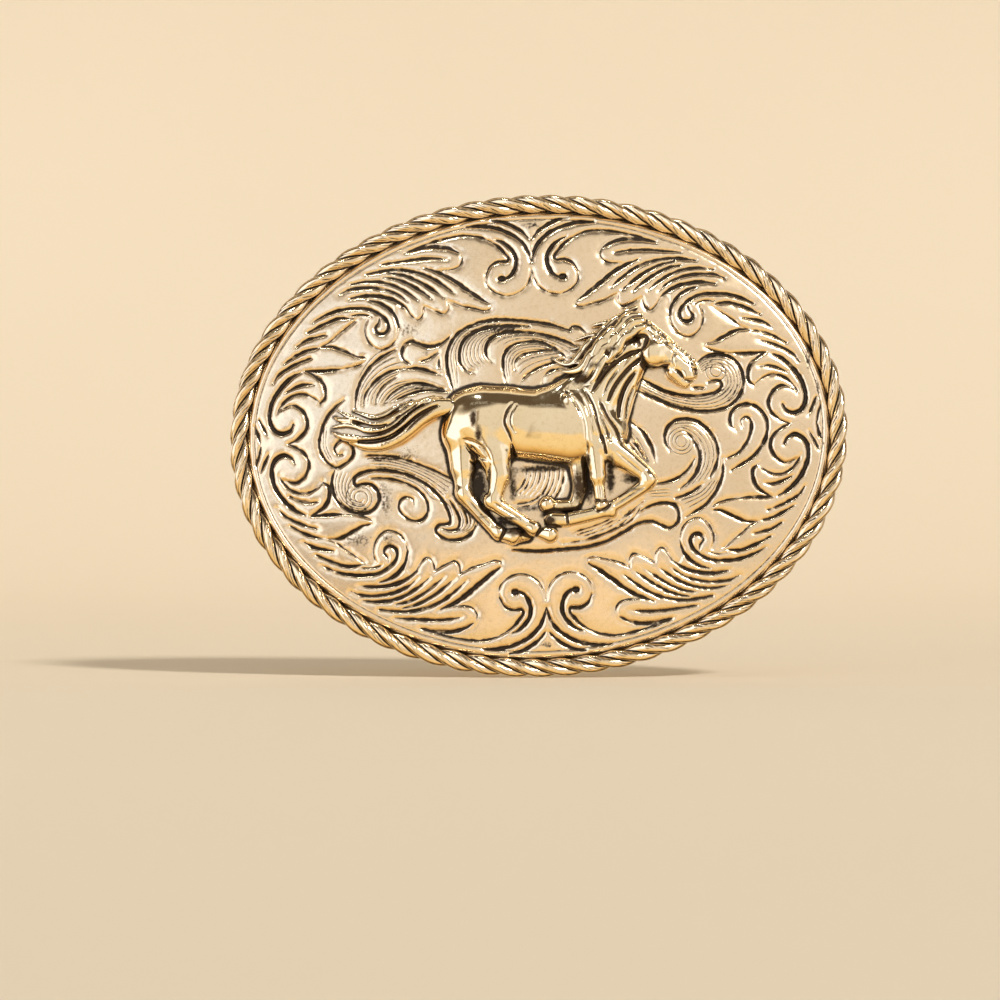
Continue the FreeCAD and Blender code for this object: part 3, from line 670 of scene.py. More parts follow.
def make_strand(name, start):
    """One strand of the rope: a third of its round section with a bulging outside, wound along it."""
    count = ROPE_TURNS * STEPS_PER_TURN
    middle, outward = rope_path(count)
    half_angle = LOBE_HALF_ANGLE
    span = np.linspace(-1, 1, LOBE_POINTS)
    swell = np.cos(span * half_angle) ** 0.9 * LOBE_SWELL
    reach = np.concatenate([ROPE_RADIUS * swell, [0.62, 0.12, 0.62]])
    angle = np.concatenate([span * half_angle, [half_angle * 0.96, 0, -half_angle * 0.96]])
    # Painted shade darkens each lobe towards its edges, in the valleys between the strands.
    shade = np.concatenate([0.95 * smooth_step(np.abs(span), 0.77, 0.93), [1, 1, 1]])

    turn = start - FULL_TURN * ROPE_TURNS * np.arange(count) / count
    along = np.arange(count)
    random = np.random.default_rng(int(start * 10) + 3)
    wander = np.interp(along, np.linspace(0, count, 64), np.append(random.standard_normal(63) * 0.012, 0))
    whole = turn[:, None] + angle[None, :]
    # A short chisel nick on every lobe, where the strand comes round to the front
    front = np.cos(turn - math.radians(112))
    nick = np.exp(-(((angle[None, :] - NICK_ANGLE) / NICK_WIDTH) ** 2))
    nick = nick * smooth_step(front, 0.90, 0.97)[:, None]
    nick[:, span.size:] = 0
    radius = reach[None, :] * (1 + wander[:, None]) - NICK_DEPTH * nick
    patina_and_shade = np.maximum(shade[None, :] * np.ones_like(turn)[:, None], 0.75 * nick)
    for streak_angle in STREAK_ANGLES:
        strength = np.interp(along, np.linspace(0, count, 190), random.standard_normal(190))
        streak = np.exp(-(((angle - streak_angle) / STREAK_WIDTH) ** 2))[None, :]
        streak = streak * smooth_step(strength, -0.5, 0.4)[:, None]
        patina_and_shade = np.maximum(patina_and_shade, 0.85 * streak)
        radius = radius - STREAK_DEPTH * streak
    x = middle[:, 0, None] + outward[:, 0, None] * radius * np.cos(whole)
    z = middle[:, 1, None] + outward[:, 1, None] * radius * np.cos(whole)
    y = -ROPE_DEPTH - radius * np.sin(whole)
    vertices = np.stack([x, y, z], -1).reshape(-1, 3)
    columns = reach.size
    ids = np.arange(count * columns).reshape(count, columns)
    over = np.roll(ids, -1, axis=0)
    side = np.roll(ids, -1, axis=1)
    corner = np.roll(over, -1, axis=1)
    faces = np.stack([ids, over, corner, side], -1).reshape(-1, 4).tolist()
    return make_piece(name, vertices, faces, np.clip(patina_and_shade, 0, 1).ravel())


# ---------------------------------------------------------------- the horse

VOXEL = 0.13
HORSE_DROP = 0.35
HORSE_SWELL = 0.055
HORSE_RIPPLE = 0.006
HORSE_LOW = np.array([-34.5, -18.8, -0.75])
HORSE_HIGH = np.array([27.5, 20.2, 5.2])
FAR_AWAY = 3.0

# The tail's locks, as (x, z, height over the plate, radius) from root to tip.
TAIL_LOCKS = [
    [(-13.4, 4.8, 1.3, 1.15), (-16, 4.3, 1.6, 1.1), (-18.2, 3.1, 1.6, 1.1), (-20.2, 1.5, 1.5, 1.05),
     (-22.2, 0.2, 1.4, 0.95), (-24.5, -0.6, 1.2, 0.9), (-27, -0.6, 1.0, 0.75), (-29.3, 0.1, 0.8, 0.35)],
    [(-13.8, 5.3, 1.5, 0.9), (-16.5, 5.3, 1.9, 0.75), (-19, 4.1, 2.0, 0.7), (-21, 2.5, 1.9, 0.65),
     (-23.2, 1.2, 1.8, 0.65), (-25.8, 0.5, 1.6, 0.6), (-28.5, 0.6, 1.3, 0.6), (-30.6, 1.0, 1.0, 0.5),
     (-32.3, 1.9, 0.6, 0.2)],
    [(-15, 6, 1.4, 0.55), (-17.5, 5.8, 1.7, 0.55), (-20, 4.5, 1.9, 0.55), (-22, 3.0, 2.0, 0.5),
     (-24.2, 1.9, 1.9, 0.5), (-26.4, 1.7, 1.7, 0.55), (-28.4, 2.3, 1.4, 0.5), (-30.4, 2.8, 1.0, 0.45),
     (-32.2, 2.5, 0.6, 0.2)],
    [(-16.2, 6.4, 1.1, 0.45), (-19.5, 5.5, 1.3, 0.5), (-21.8, 4.1, 1.6, 0.5), (-23.8, 2.9, 1.8, 0.5),
     (-25.8, 2.6, 1.7, 0.5), (-27.6, 3.2, 1.5, 0.5), (-29.4, 4.0, 1.1, 0.45), (-31.3, 5.2, 0.6, 0.15)],
    [(-19.6, 5.9, 0.6, 0.3), (-22, 5.1, 1.0, 0.45), (-23.8, 4.1, 1.3, 0.5), (-25.6, 3.7, 1.3, 0.45),
     (-27.2, 4.2, 1.1, 0.4), (-28.8, 4.9, 0.6, 0.2)],
    [(-27.6, 2.9, 1.4, 0.4), (-29.4, 3.4, 1.2, 0.45), (-31, 3.7, 0.9, 0.4), (-31.8, 4.2, 0.5, 0.15)],
]

# The crest of the neck, from the poll to the withers.
CREST = [(16.6, 18.1), (14.2, 17), (11.8, 15.2), (9.5, 12.9), (7.4, 10.6), (5.4, 8.9), (3.2, 8.1)]

# The mane's rows: distance outside the crest, flick of the tips, height, thickness and number of locks.
MANE_ROWS = [(-2.3, -0.4, 2.8, 0.7, 4), (-1.2, 0.4, 2.8, 0.78, 5), (-0.1, 1.1, 2.4, 0.8, 5),
             (0.9, 2.0, 1.7, 0.7, 5)]


def make_horse_field():
    """A distance field of the horse, negative inside, over (x, z, height over the plate)."""
    axes = [np.arange(low, high, VOXEL) for low, high in zip(HORSE_LOW, HORSE_HIGH)]
    field = np.full([a.size for a in axes], FAR_AWAY, np.float32)

    def limb(start, end, r1, r2, flat=1.0, blend=0.5):
        """Adds a tapered round limb between two (x, z, height) points, flattened towards the plate."""
        start, end = np.array(start, float), np.array(end, float)
        reach = max(r1, r2) + blend + 2 * VOXEL
        low = np.minimum(start, end) - reach
        high = np.maximum(start, end) + reach
        cells = tuple(
            slice(max(0, int((l - o) / VOXEL)), max(0, int((h - o) / VOXEL) + 2))
            for l, h, o in zip(low, high, HORSE_LOW)
        )
        x, z, d = np.meshgrid(*(a[c] for a, c in zip(axes, cells)), indexing="ij")
        step = (end - start) * [1, 1, 1 / flat]
        px, pz, pd = x - start[0], z - start[1], (d - start[2]) / flat
        t = np.clip((px * step[0] + pz * step[1] + pd * step[2]) / max(step @ step, 1e-9), 0, 1)
        away = np.sqrt((px - t * step[0]) ** 2 + (pz - t * step[1]) ** 2 + (pd - t * step[2]) ** 2)
        away -= r1 + (r2 - r1) * t
        here = field[cells]
        mix = np.clip(blend - np.abs(here - away), 0, None)
        field[cells] = np.minimum(here, away) - mix**2 / (4 * blend)

    def ball(centre, radius, flat=1.0, blend=0.5):
        limb(centre, np.array(centre) + [0.001, 0, 0], radius, radius, flat, blend)

    def lock(points, blend=0.12):
        line = even_points(curve(points, 0.5), 2 + 3 * len(points))
        for a, b in zip(line, line[1:]):
            limb(a[:3], b[:3], a[3], b[3], 1.0, blend)

    # trunk
    limb((-8.8, 3.0, 0), (-5, 2.6, 0), 5.15, 5.0, 0.78, 1.2)
    limb((-4.5, 2.0, 0), (5, 1.0, 0), 5.3, 6.0, 0.68, 1.2)
    ball((8.4, 1.2, 0), 5.0, 0.8, 1.2)
    ball((11.3, 0, 0.4), 2.75, 0.95, 1.0)
    limb((-11.5, 4.6, 0.2), (-12.6, 0.4, 0.2), 2.7, 2.5, 0.95, 1.2)
    limb((1.5, 5.4, 0.3), (5, 6.6, 0.3), 1.7, 2.2, 1.0, 1.2)
    limb((4.9, 5, 2.3), (7.6, -1.4, 2.7), 1.25, 1.2, 1.0, 0.5)
    # neck, with its muscles
    limb((8.4, 4.2, 0), (15, 12.2, 0.6), 4.6, 2.9, 0.74, 1.0)
    limb((6.4, 7.6, 0.2), (14.3, 15.6, 0.7), 2.3, 1.8, 0.9, 0.9)
    limb((12.4, 2.4, 0.6), (15.2, 9.8, 1.1), 1.8, 1.5, 1.0, 0.6)
    limb((10.6, 4, 1.8), (15.2, 11.4, 2.0), 1.3, 1.0, 1.0, 0.4)
    limb((8.8, 5.6, 1.9), (14.6, 13.2, 2.0), 1.2, 1.0, 1.0, 0.4)
    limb((9.9, 2.4, 2.3), (12.2, -1.6, 2.3), 1.0, 0.9, 1.0, 0.4)
    # head
    limb((16.9, 15.4, 1.4), (19.2, 12.9, 1.5), 2.1, 2.3, 0.85, 0.6)
    ball((18.3, 12.1, 1.6), 2.65, 0.82, 0.4)
    limb((19.8, 12.3, 1.4), (23.4, 9.2, 1.3), 2.15, 1.75, 0.85, 0.5)
    ball((23.6, 8.4, 1.5), 1.6, 0.9, 0.3)
    limb((21.5, 8.9, 1.3), (23.1, 7.1, 1.3), 1.3, 0.95, 1.0, 0.25)
    limb((15.6, 15.2, 1.9), (16.6, 18.4, 1.9), 0.95, 0.2, 0.8, 0.2)
    limb((14.7, 16.6, 1.2), (15.2, 18, 1.2), 0.7, 0.2, 0.8, 0.2)
    ball((19.4, 14.1, 3.0), 0.48, 1.0, 0.1)
    limb((18.1, 15.1, 2.7), (20.6, 13.4, 2.9), 0.4, 0.3, 1.0, 0.2)
    for share in np.linspace(0, 1, 11):
        ball((17.5 + 7 * share, 16.9 - 6.4 * share, 2.3 - 0.2 * share), 0.36, 1.0, 0.08)
    # near hind leg
    limb((-8.8, 2, 0.9), (-7, -3.2, 1.2), 4.0, 2.6, 0.85, 0.9)
    limb((-6.9, -3, 1.3), (-6.5, -6, 1.5), 2.5, 1.9, 0.9, 0.6)
    limb((-6.5, -6, 1.5), (-7.4, -9.6, 1.6), 1.85, 1.2, 0.95, 0.6)
    ball((-7.8, -10.1, 1.7), 1.35, 1.0, 0.55)
    limb((-7.5, -10.5, 1.6), (-2.3, -14.2, 1.5), 1.2, 1.05, 1.0, 0.5)
    ball((-1.5, -14.7, 1.5), 1.25, 1.0, 0.4)
    limb((-0.6, -15.3, 1.4), (1.0, -15.8, 1.5), 0.95, 1.35, 1.0, 0.3)
    # far hind leg
    limb((-12.1, 1, 0), (-12.1, -4.6, 0.2), 2.9, 2.0, 0.85, 0.8)
    limb((-12.1, -4.6, 0.3), (-12.1, -8, 0.4), 1.7, 1.25, 0.9, 0.6)
    ball((-12.1, -8.6, 0.6), 1.35, 1.0, 0.55)
    limb((-11.8, -9.2, 0.6), (-7.5, -14.6, 0.8), 1.2, 1.0, 1.0, 0.5)
    ball((-6.9, -15.1, 0.9), 1.2, 1.0, 0.4)
    limb((-6.1, -15.5, 1.0), (-4.8, -15.7, 1.2), 1.0, 1.35, 1.0, 0.3)
    limb((-4.2, -15.7, 0.6), (-2.6, -15.7, 0.4), 1.1, 0.8, 1.0, 0.3)
    # reaching fore leg, folded back at the knee
    limb((10.4, -2.2, 1.7), (16.2, -6.9, 1.7), 2.3, 1.3, 0.9, 0.5)
    ball((16.7, -7.8, 1.8), 1.45, 1.0, 0.5)
    limb((16.3, -8.6, 1.6), (10.6, -12, 1.6), 1.15, 0.95, 1.0, 0.5)
    ball((10, -12.4, 1.6), 1.15, 1.0, 0.4)
    limb((9.2, -12.6, 1.4), (4.2, -13.5, 1.3), 0.95, 1.0, 1.0, 0.4)
    limb((3.6, -13.6, 1.2), (1.4, -13.4, 1.2), 1.0, 1.2, 1.0, 0.3)
    # standing fore leg
    limb((8.5, -2.2, 2.0), (8.8, -6.8, 2.0), 1.9, 1.2, 0.9, 0.5)
    ball((8.8, -7.2, 2.0), 1.3, 1.0, 0.5)
    limb((8.8, -7.6, 1.9), (9.1, -10.8, 1.8), 1.0, 0.85, 1.0, 0.4)
    ball((9.3, -11.6, 1.9), 1.15, 1.0, 0.3)
    limb((9.6, -12.2, 1.6), (10.7, -12.7, 1.4), 0.85, 0.95, 1.0, 0.3)
    # far fore leg and its hoof
    limb((5.8, -4, 0.2), (6, -8.5, 0.3), 1.6, 1.05, 0.9, 0.6)
    limb((6, -8.6, 0.3), (5, -11.1, 0.4), 1.1, 0.9, 1.0, 0.5)
    limb((4.8, -11.2, 0.4), (2, -11.3, 0.5), 0.85, 0.95, 1.0, 0.4)
    ball((0.8, -11, 1.0), 1.3, 1.0, 0.3)
    # tail
    for points in TAIL_LOCKS:
        lock(np.array(points))
    # mane: rows of long pointed locks that follow the crest and flick away from it at their tips
    random = np.random.default_rng(5)
    crest = even_points(curve(CREST), 64)
    forward = np.gradient(crest, axis=0)
    forward /= np.linalg.norm(forward, axis=1)[:, None]
    outward = np.stack([forward[:, 1], -forward[:, 0]], 1)
    share = np.linspace(0, 1, 6)
    for offset, flick, height, thick, count in MANE_ROWS:
        for i in range(count):
            start = (i + 0.35 * random.random()) / count * 42
            reach = 19 + 7 * random.random()
            at = np.clip(start + reach * share, 0, 63).astype(int)
            bend = flick * (0.7 + 0.6 * random.random())
            away = offset + bend * share**2 + 0.4 * np.sin(FULL_TURN * (share + 0.3 * random.random()))
            line = crest[at] + outward[at] * away[:, None]
            level = height + 0.15 * random.standard_normal() - 0.9 * share**2
            width = thick * np.array([0.75, 1.0, 1.05, 0.9, 0.6, 0.2])
            lock(np.column_stack([line, level, width]), 0.09)
    base_level = -0.55
    depth = axes[2][None, None, :]
    return axes, np.maximum(field, base_level - depth)


# Creases in the horse's body: half width, depth and points.
HORSE_CREASES = [
    # flank and thigh
    (0.26, 0.34, [(-4.1, 4.7), (-4.9, 3.4), (-5.3, 1.8), (-4.6, -0.2), (-4.3, -1.2)]),
    (0.20, 0.26, [(-3.4, 4.4), (-4.2, 3), (-4.4, 1.6), (-3.8, 0.2)]),
    (0.26, 0.30, [(-4.3, -1.2), (-4.2, -3), (-4.4, -5)]),
    (0.22, 0.22, [(-11.9, -0.5), (-10.4, -0.9), (-8.8, -2.1), (-7.8, -4)]),
    (0.20, 0.20, [(-11.8, -0.8), (-10.9, -2.2), (-9.4, -3.3), (-8, -3.9)]),
    (0.24, 0.26, [(-10.8, -3.8), (-9.6, -4.8), (-8.7, -6.2)]),
    (0.20, 0.26, [(-7.9, -4.4), (-8.1, -6.6), (-8.4, -9)]),
    # between the tail's locks
    (0.22, 0.34, [(-15.5, 5.0), (-18.5, 3.6), (-20.8, 1.9), (-23, 0.5), (-25.5, 0.0), (-28, 0.1)]),
    (0.20, 0.32, [(-16.5, 5.7), (-19.5, 4.3), (-22, 2.2), (-24.3, 1.1), (-27, 1.0), (-29.5, 1.7),
                  (-31.2, 1.9)]),
    (0.20, 0.32, [(-18.5, 5.4), (-21.2, 3.8), (-23.2, 2.4), (-25.4, 2.1), (-27.4, 2.7), (-29, 3.3)]),
    (0.18, 0.28, [(-20.5, 5.0), (-22.6, 4.0), (-24.4, 3.3), (-26, 3.1), (-27.4, 3.7), (-28.8, 4.5)]),
    (0.40, 0.50, [(-30.4, 2.3), (-29, 1.8), (-27.6, 1.2)]),
    (0.20, 0.30, [(-16.2, 4.6), (-18.6, 3.0), (-20.6, 1.3)]),
    # shoulder and breast
    (0.20, 0.22, [(4.3, 6.4), (6, 4.2), (7, 1.4), (7.2, -1.4), (7.4, -3.4)]),
    (0.24, 0.34, [(7.4, 6.4), (8.6, 3.6), (9.2, 0.6), (9.9, -2), (10.2, -3.6)]),
    (0.15, 0.12, [(6, 6.6), (7.4, 3.8), (8, 0.8), (8.2, -1.6)]),
    (0.26, 0.36, [(9.6, 4.6), (10.6, 2.2), (11.9, 0), (12.5, -1.8)]),
    (0.20, 0.26, [(9.6, 2.2), (10.4, 0.2), (11, -1.8)]),
    # neck
    (0.36, 0.50, [(16.4, 12.4), (13.6, 11.3), (10.8, 9.2), (8.5, 6.2)]),
    (0.30, 0.46, [(16.2, 11), (14, 9.2), (12, 6.8), (10.9, 4.6)]),
    (0.26, 0.36, [(15.4, 9), (13.7, 6.8), (12.7, 4.2), (12.4, 2)]),
    (0.20, 0.26, [(15, 6.6), (14, 4.4), (13.5, 2)]),
    (0.20, 0.28, [(12.6, 9.4), (11.2, 7.6), (10.2, 5.6)]),
    (0.20, 0.24, [(13.4, 12), (11.4, 10.6), (9.6, 8.4)]),
    # ear, cheek, mouth, nostril and halter
    (0.36, 0.45, [(14, 13.2), (15.2, 14), (16.6, 14.6), (17.3, 14.3), (17.1, 13.2), (16.4, 12.2)]),
    (0.22, 0.32, [(16.4, 12.4), (16.5, 11), (17.4, 9.9), (19, 9.6), (20.6, 9.9)]),
    (0.18, 0.26, [(21.9, 12), (21.2, 10.9), (21.3, 9.5)]),
    (0.18, 0.26, [(21.3, 9.2), (22.2, 8.6), (22.7, 7.8)]),
    (0.16, 0.26, [(22.6, 7.6), (23.6, 7.3), (24.8, 7.4)]),
    (0.26, 0.34, [(24.3, 9.3), (24.8, 8.7), (24.6, 8.3)]),
    (0.14, 0.22, [(18.6, 14.4), (19.3, 14.8), (20.1, 14.1)]),
    (0.14, 0.22, [(18.6, 13.9), (19.3, 13.4), (20.1, 13.7)]),
    (0.16, 0.24, [(17.8, 15.5), (20.6, 13), (23.6, 10.1)]),
    # fetlocks, tendons and hoof bands
    (0.16, 0.26, [(-1.2, -15.9), (0, -14.4)]),
    (0.16, 0.26, [(-6.8, -16.3), (-5.8, -14.5)]),
    (0.16, 0.26, [(3.9, -14.6), (3.7, -12.6)]),
    (0.16, 0.24, [(8.3, -10.8), (9.9, -10.9)]),
    (0.16, 0.24, [(8.5, -12.5), (9.9, -12.1), (10.4, -11.6)]),
    (0.18, 0.24, [(-7.4, -10.6), (-3.4, -13.2)]),
    (0.18, 0.24, [(-11.5, -9.8), (-8.2, -13.8)]),
    (0.18, 0.24, [(15.8, -9), (11.2, -11.6)]),
    (0.18, 0.24, [(12, -3.6), (15.6, -6.8)]),
    (0.16, 0.22, [(8.9, -7.8), (9.1, -10.4)]),
]


# Painted shade and painted dark reflections on the horse: its hollows between the legs and under the belly,
# its far fore leg, and streaks along its back, thigh and neck. Each is its middle, size along X and Z, and
# strength.
HORSE_SHADE_AND_REFLECTIONS = [
    ((5.9, -8.4), (1.3, 3.4), 0.85), ((4, -11.9), (3.2, 0.6), 0.8), ((1.4, -4.8), (5.0, 0.6), 0.9),
    ((-4.6, -6.6), (0.6, 3.0), 0.8), ((-10.1, -6.2), (1.1, 2.6), 0.95), ((-4.4, -15), (2.0, 0.9), 0.8),
    ((1.2, -13.6), (1.0, 0.8), 0.95), ((10.8, -5.2), (0.8, 1.7), 0.8), ((7.4, -4.6), (0.45, 1.4), 0.8),
    ((-25, -0.1), (2.4, 0.35), 0.6), ((6.4, 8), (1.2, 1.0), 0.8), ((-13.2, -6), (0.8, 0.9), 0.5),
    ((-5.4, -13), (2.2, 0.5), 0.7), ((14.2, -9.3), (2.2, 0.45), 0.6), ((-9.2, -12.6), (1.6, 0.4), 0.6),
    ((5, 6.2), (4.5, 0.5), 0.4), ((9.6, 3.4), (0.5, 2.2), 0.6), ((13.3, 0.4), (0.6, 1.6), 0.6),
    ((-10.1, 2.6), (0.7, 1.7), 0.85), ((-9.4, 0.2), (0.7, 1.6), 0.8), ((-8.6, -1.8), (0.5, 1.2), 0.5),
    ((1, 4.1), (3.6, 0.45), 0.55), ((-9, 4.9), (3, 0.4), 0.5),
    ((11.8, 12.6), (1.8, 0.6), 0.65), ((9, 10.2), (1.5, 0.8), 0.65), ((7, 8.2), (1.5, 1.2), 0.9),
    ((14.6, 15.4), (1.2, 0.5), 0.5), ((10.8, 14.2), (1.0, 0.5), 0.5), ((20.6, 10.4), (2.4, 0.35), 0.5),
]


def surface_net(field, axes):
    """The closed surface where a field is zero, as vertices in the field's own coordinates and quads."""
    corners = np.array([(i, j, k) for i in (0, 1) for j in (0, 1) for k in (0, 1)])
    inner = field < 0
    shape = np.array(field.shape) - 1
    count = sum(
        inner[i : i + shape[0], j : j + shape[1], k : k + shape[2]].astype(np.int8) for i, j, k in corners
    )
    cells = np.argwhere((count > 0) & (count < 8))
    ids = np.full(shape, -1, np.int64)
    ids[tuple(cells.T)] = np.arange(len(cells))
    total = np.zeros((len(cells), 3))
    hits = np.zeros(len(cells))
    for a in corners:
        for axis in range(3):
            if a[axis]:
                continue
            b = a.copy()
            b[axis] = 1
            low = field[tuple((cells + a).T)]
            high = field[tuple((cells + b).T)]
            crossing = (low < 0) != (high < 0)
            t = np.where(crossing, low / np.where(crossing, low - high, 1), 0)
            at = np.tile(a.astype(float), (len(cells), 1))
            at[:, axis] = t
            total += at * crossing[:, None]
            hits += crossing
    start = np.array([a[0] for a in axes])
    vertices = start + (cells + total / hits[:, None]) * VOXEL

    quads = []
    for axis in range(3):
        first, second = [(axis + 1) % 3, (axis + 2) % 3]
        low = inner.take(range(shape[axis]), axis)
        high = inner.take(range(1, shape[axis] + 1), axis)
        edges = np.argwhere(low != high)
        edges = edges[(edges[:, first] > 0) & (edges[:, second] > 0)]
        edges = edges[(edges[:, first] < shape[first]) & (edges[:, second] < shape[second])]
        leaving = low[tuple(edges.T)]
        meeting = []
        for di, dj in ((1, 1), (0, 1), (0, 0), (1, 0)):
            cell = edges.copy()
            cell[:, first] -= di
            cell[:, second] -= dj
            meeting.append(ids[tuple(cell.T)])
        faces = np.stack(meeting, 1)
        faces[~leaving] = faces[~leaving][:, ::-1]
        quads.append(faces)
    return vertices, np.vstack(quads)


def sample_field(field, axes, points):
    """The field's value at any points, by trilinear interpolation."""
    at = (points - [a[0] for a in axes]) / VOXEL
    at = np.clip(at, 0, np.array(field.shape) - 1.001)
    base = at.astype(int)
    part = at - base
    value = np.zeros(len(points))
    for i in (0, 1):
        for j in (0, 1):
            for k in (0, 1):
                weight = (
                    np.where(i, part[:, 0], 1 - part[:, 0])
                    * np.where(j, part[:, 1], 1 - part[:, 1])
                    * np.where(k, part[:, 2], 1 - part[:, 2])
                )
                value += weight * field[base[:, 0] + i, base[:, 1] + j, base[:, 2] + k]
    return value


def smoothed(vertices, quads, rounds):
    """The vertices after rounds of Taubin smoothing, which takes out the grid's ripples without shrinking."""
    starts = np.concatenate([quads.ravel(), np.roll(quads, -1, 1).ravel()])
    ends = np.concatenate([np.roll(quads, -1, 1).ravel(), quads.ravel()])
    count = np.bincount(starts, minlength=len(vertices))[:, None]
    for _ in range(rounds):
        for share in (0.5, -0.52):
            sums = [np.bincount(starts, vertices[ends, i], len(vertices)) for i in range(3)]
            mean = np.stack(sums, 1) / count
            vertices = vertices + share * (mean - vertices)
    return vertices


SMOOTHING_ROUNDS = 4
CAVITY_REACH = 0.9
CREASE_FLOOR = 0.4
CONTACT_HEIGHT = 0.15


def make_horse():
    """The horse as a closed mesh laid on the dome, with its distance field and that field's axes."""
    axes, field = make_horse_field()
    creases = np.zeros(GRID_X.shape)
    for half_width, depth, points in HORSE_CREASES:
        groove = empty_field()
        stroke(groove, curve(points), half_width, taper=1.2)
        creases = np.maximum(creases, depth * smooth_step(-groove, -0.22, half_width * 0.8))
    x, z = np.meshgrid(axes[0], axes[1], indexing="ij")
    crease = read_raster(creases, x, z)[:, :, None]
    swell = soften(np.random.default_rng(17).standard_normal(GRID_X.shape), 1.5)
    ripple = soften(np.random.default_rng(19).standard_normal(GRID_X.shape), 0.5)
    uneven = HORSE_SWELL * swell / swell.std() + HORSE_RIPPLE * ripple / ripple.std()
    crease += read_raster(uneven, x, z)[:, :, None]
    high = axes[2][None, None, :] > CREASE_FLOOR
    field = field + np.where(high, crease, 0).astype(np.float32)
    vertices, quads = surface_net(field, axes)
    vertices = smoothed(vertices, quads, SMOOTHING_ROUNDS)

    slopes = np.stack([sample_field(g, axes, vertices) for g in np.gradient(field, VOXEL)], 1)
    normals = slopes / (np.linalg.norm(slopes, axis=1)[:, None] + 1e-9)
    open_space = sample_field(field, axes, vertices + normals * CAVITY_REACH)
    # Antiquing darkens the horse's hollows and creases; painted shade darkens it low down, where it meets the
    # plate.
    cavity = smooth_step(1 - open_space / CAVITY_REACH, 0.06, 0.42)
    low_down = smooth_step(vertices[:, 2], 0.75, 0.05)
    in_crease = smooth_step(read_raster(creases, vertices[:, 0], vertices[:, 1]), 0.12, 0.30)
    patina_and_shade = np.maximum(np.maximum(cavity, 0.8 * low_down), 0.8 * in_crease)
    # Painted shade and painted dark reflections, placed on the horse from the list above.
    for (across, up), (wide, tall), strength in HORSE_SHADE_AND_REFLECTIONS:
        near = np.exp(-(((vertices[:, 0] - across) / wide) ** 2) - ((vertices[:, 1] - up) / tall) ** 2)
        patina_and_shade = np.maximum(patina_and_shade, strength * near)
    patina_and_shade = np.clip(patina_and_shade, 0, 1)
    x, z = vertices[:, 0], vertices[:, 1] - HORSE_DROP
    world = np.stack([x, front_y(x, z) - vertices[:, 2], z], 1)
    # The axes (x, z, height) become (x, -height, z), which keeps the quads' sense.
    return make_piece("horse_relief", world, quads.tolist(), patina_and_shade), axes, field


def contact_shade(axes, field):
    """A raster of painted shade on the plate close round the horse, where the two meet."""
    level = int((CONTACT_HEIGHT - axes[2][0]) / VOXEL)
    near_x = ((GRID_X - axes[0][0]) / VOXEL).round().astype(int)
    near_z = ((GRID_Z + HORSE_DROP - axes[1][0]) / VOXEL).round().astype(int)
    near_x = np.clip(near_x, 0, field.shape[0] - 1)
    near_z = np.clip(near_z, 0, field.shape[1] - 1)
    return soften(smooth_step(field[near_x, near_z, level], 0.85, 0.1), 0.12)


# ---------------------------------------------------------------- materials

# A mix node's sockets, by their places: its two numbers, and its two colours and their result.
NUMBER_A, NUMBER_B = 2, 3
COLOUR_A, COLOUR_B = 6, 7
MIXED_COLOUR = 2

# The metals' light and deep tones, and the two dark tones that the antiquing and the painted shade blend to.
SATIN_TONES = [(0.92, 0.745, 0.52), (0.87, 0.68, 0.445)]
ROPE_TONES = [(0.91, 0.735, 0.50), (0.82, 0.63, 0.38)]
POLISHED_TONES = [(0.96, 0.81, 0.56), (0.92, 0.75, 0.48)]
HARDWARE_TONES = [(0.80, 0.67, 0.44), (0.72, 0.58, 0.35)]
STEEL_TONES = [(0.62, 0.61, 0.58), (0.52, 0.51, 0.49)]
GRIME_AND_SHADE = (0.045, 0.030, 0.017)
WARM_GRIME_AND_SHADE = (0.065, 0.036, 0.014)

DRIFT_SCALE, GRAIN_SCALE, SCUFF_SCALE = 90, 1500, 420
FLECK_TONE = (0.84, 0.80, 0.72)
FLECK_SHARE = 0.6
GRIME_AND_SHADE_ROUGHNESS = 0.52
GRIME_AND_SHADE_METALLIC = 0.55
PATINA_AND_SHADE_GRAIN = 0.9
SCUFF_DEPTH = 0.00004


def shader(name):
    material = bpy.data.materials.new(name)
    material.use_nodes = True
    nodes = material.node_tree.nodes
    return material, nodes, material.node_tree.links, nodes["Principled BSDF"]


def noise(nodes, links, place, scale, detail=3.0, rough=0.55):
    node = nodes.new("ShaderNodeTexNoise")
    node.inputs["Scale"].default_value = scale
    node.inputs["Detail"].default_value = detail
    node.inputs["Roughness"].default_value = rough
    links.new(place, node.inputs["Vector"])
    return node.outputs["Fac"]


def ramp(nodes, links, value, stops):
    node = nodes.new("ShaderNodeValToRGB")
    while len(node.color_ramp.elements) < len(stops):
        node.color_ramp.elements.new(0.5)
    for element, (position, colour) in zip(node.color_ramp.elements, stops):
        element.position = position
        element.color = (*colour, 1)
    links.new(value, node.inputs["Fac"])
    return node.outputs["Color"]


def mix_colours(nodes, links, share, first, second):
    node = nodes.new("ShaderNodeMix")
    node.data_type = "RGBA"
    links.new(share, node.inputs["Factor"])
    for value, at in ((first, COLOUR_A), (second, COLOUR_B)):
        if isinstance(value, tuple):
            node.inputs[at].default_value = (*value, 1)
        else:
            links.new(value, node.inputs[at])
    return node.outputs[MIXED_COLOUR]


def scale_value(nodes, links, value, low, high):
    node = nodes.new("ShaderNodeMapRange")
    node.inputs["To Min"].default_value = low
    node.inputs["To Max"].default_value = high
    links.new(value, node.inputs["Value"])
    return node.outputs["Result"]


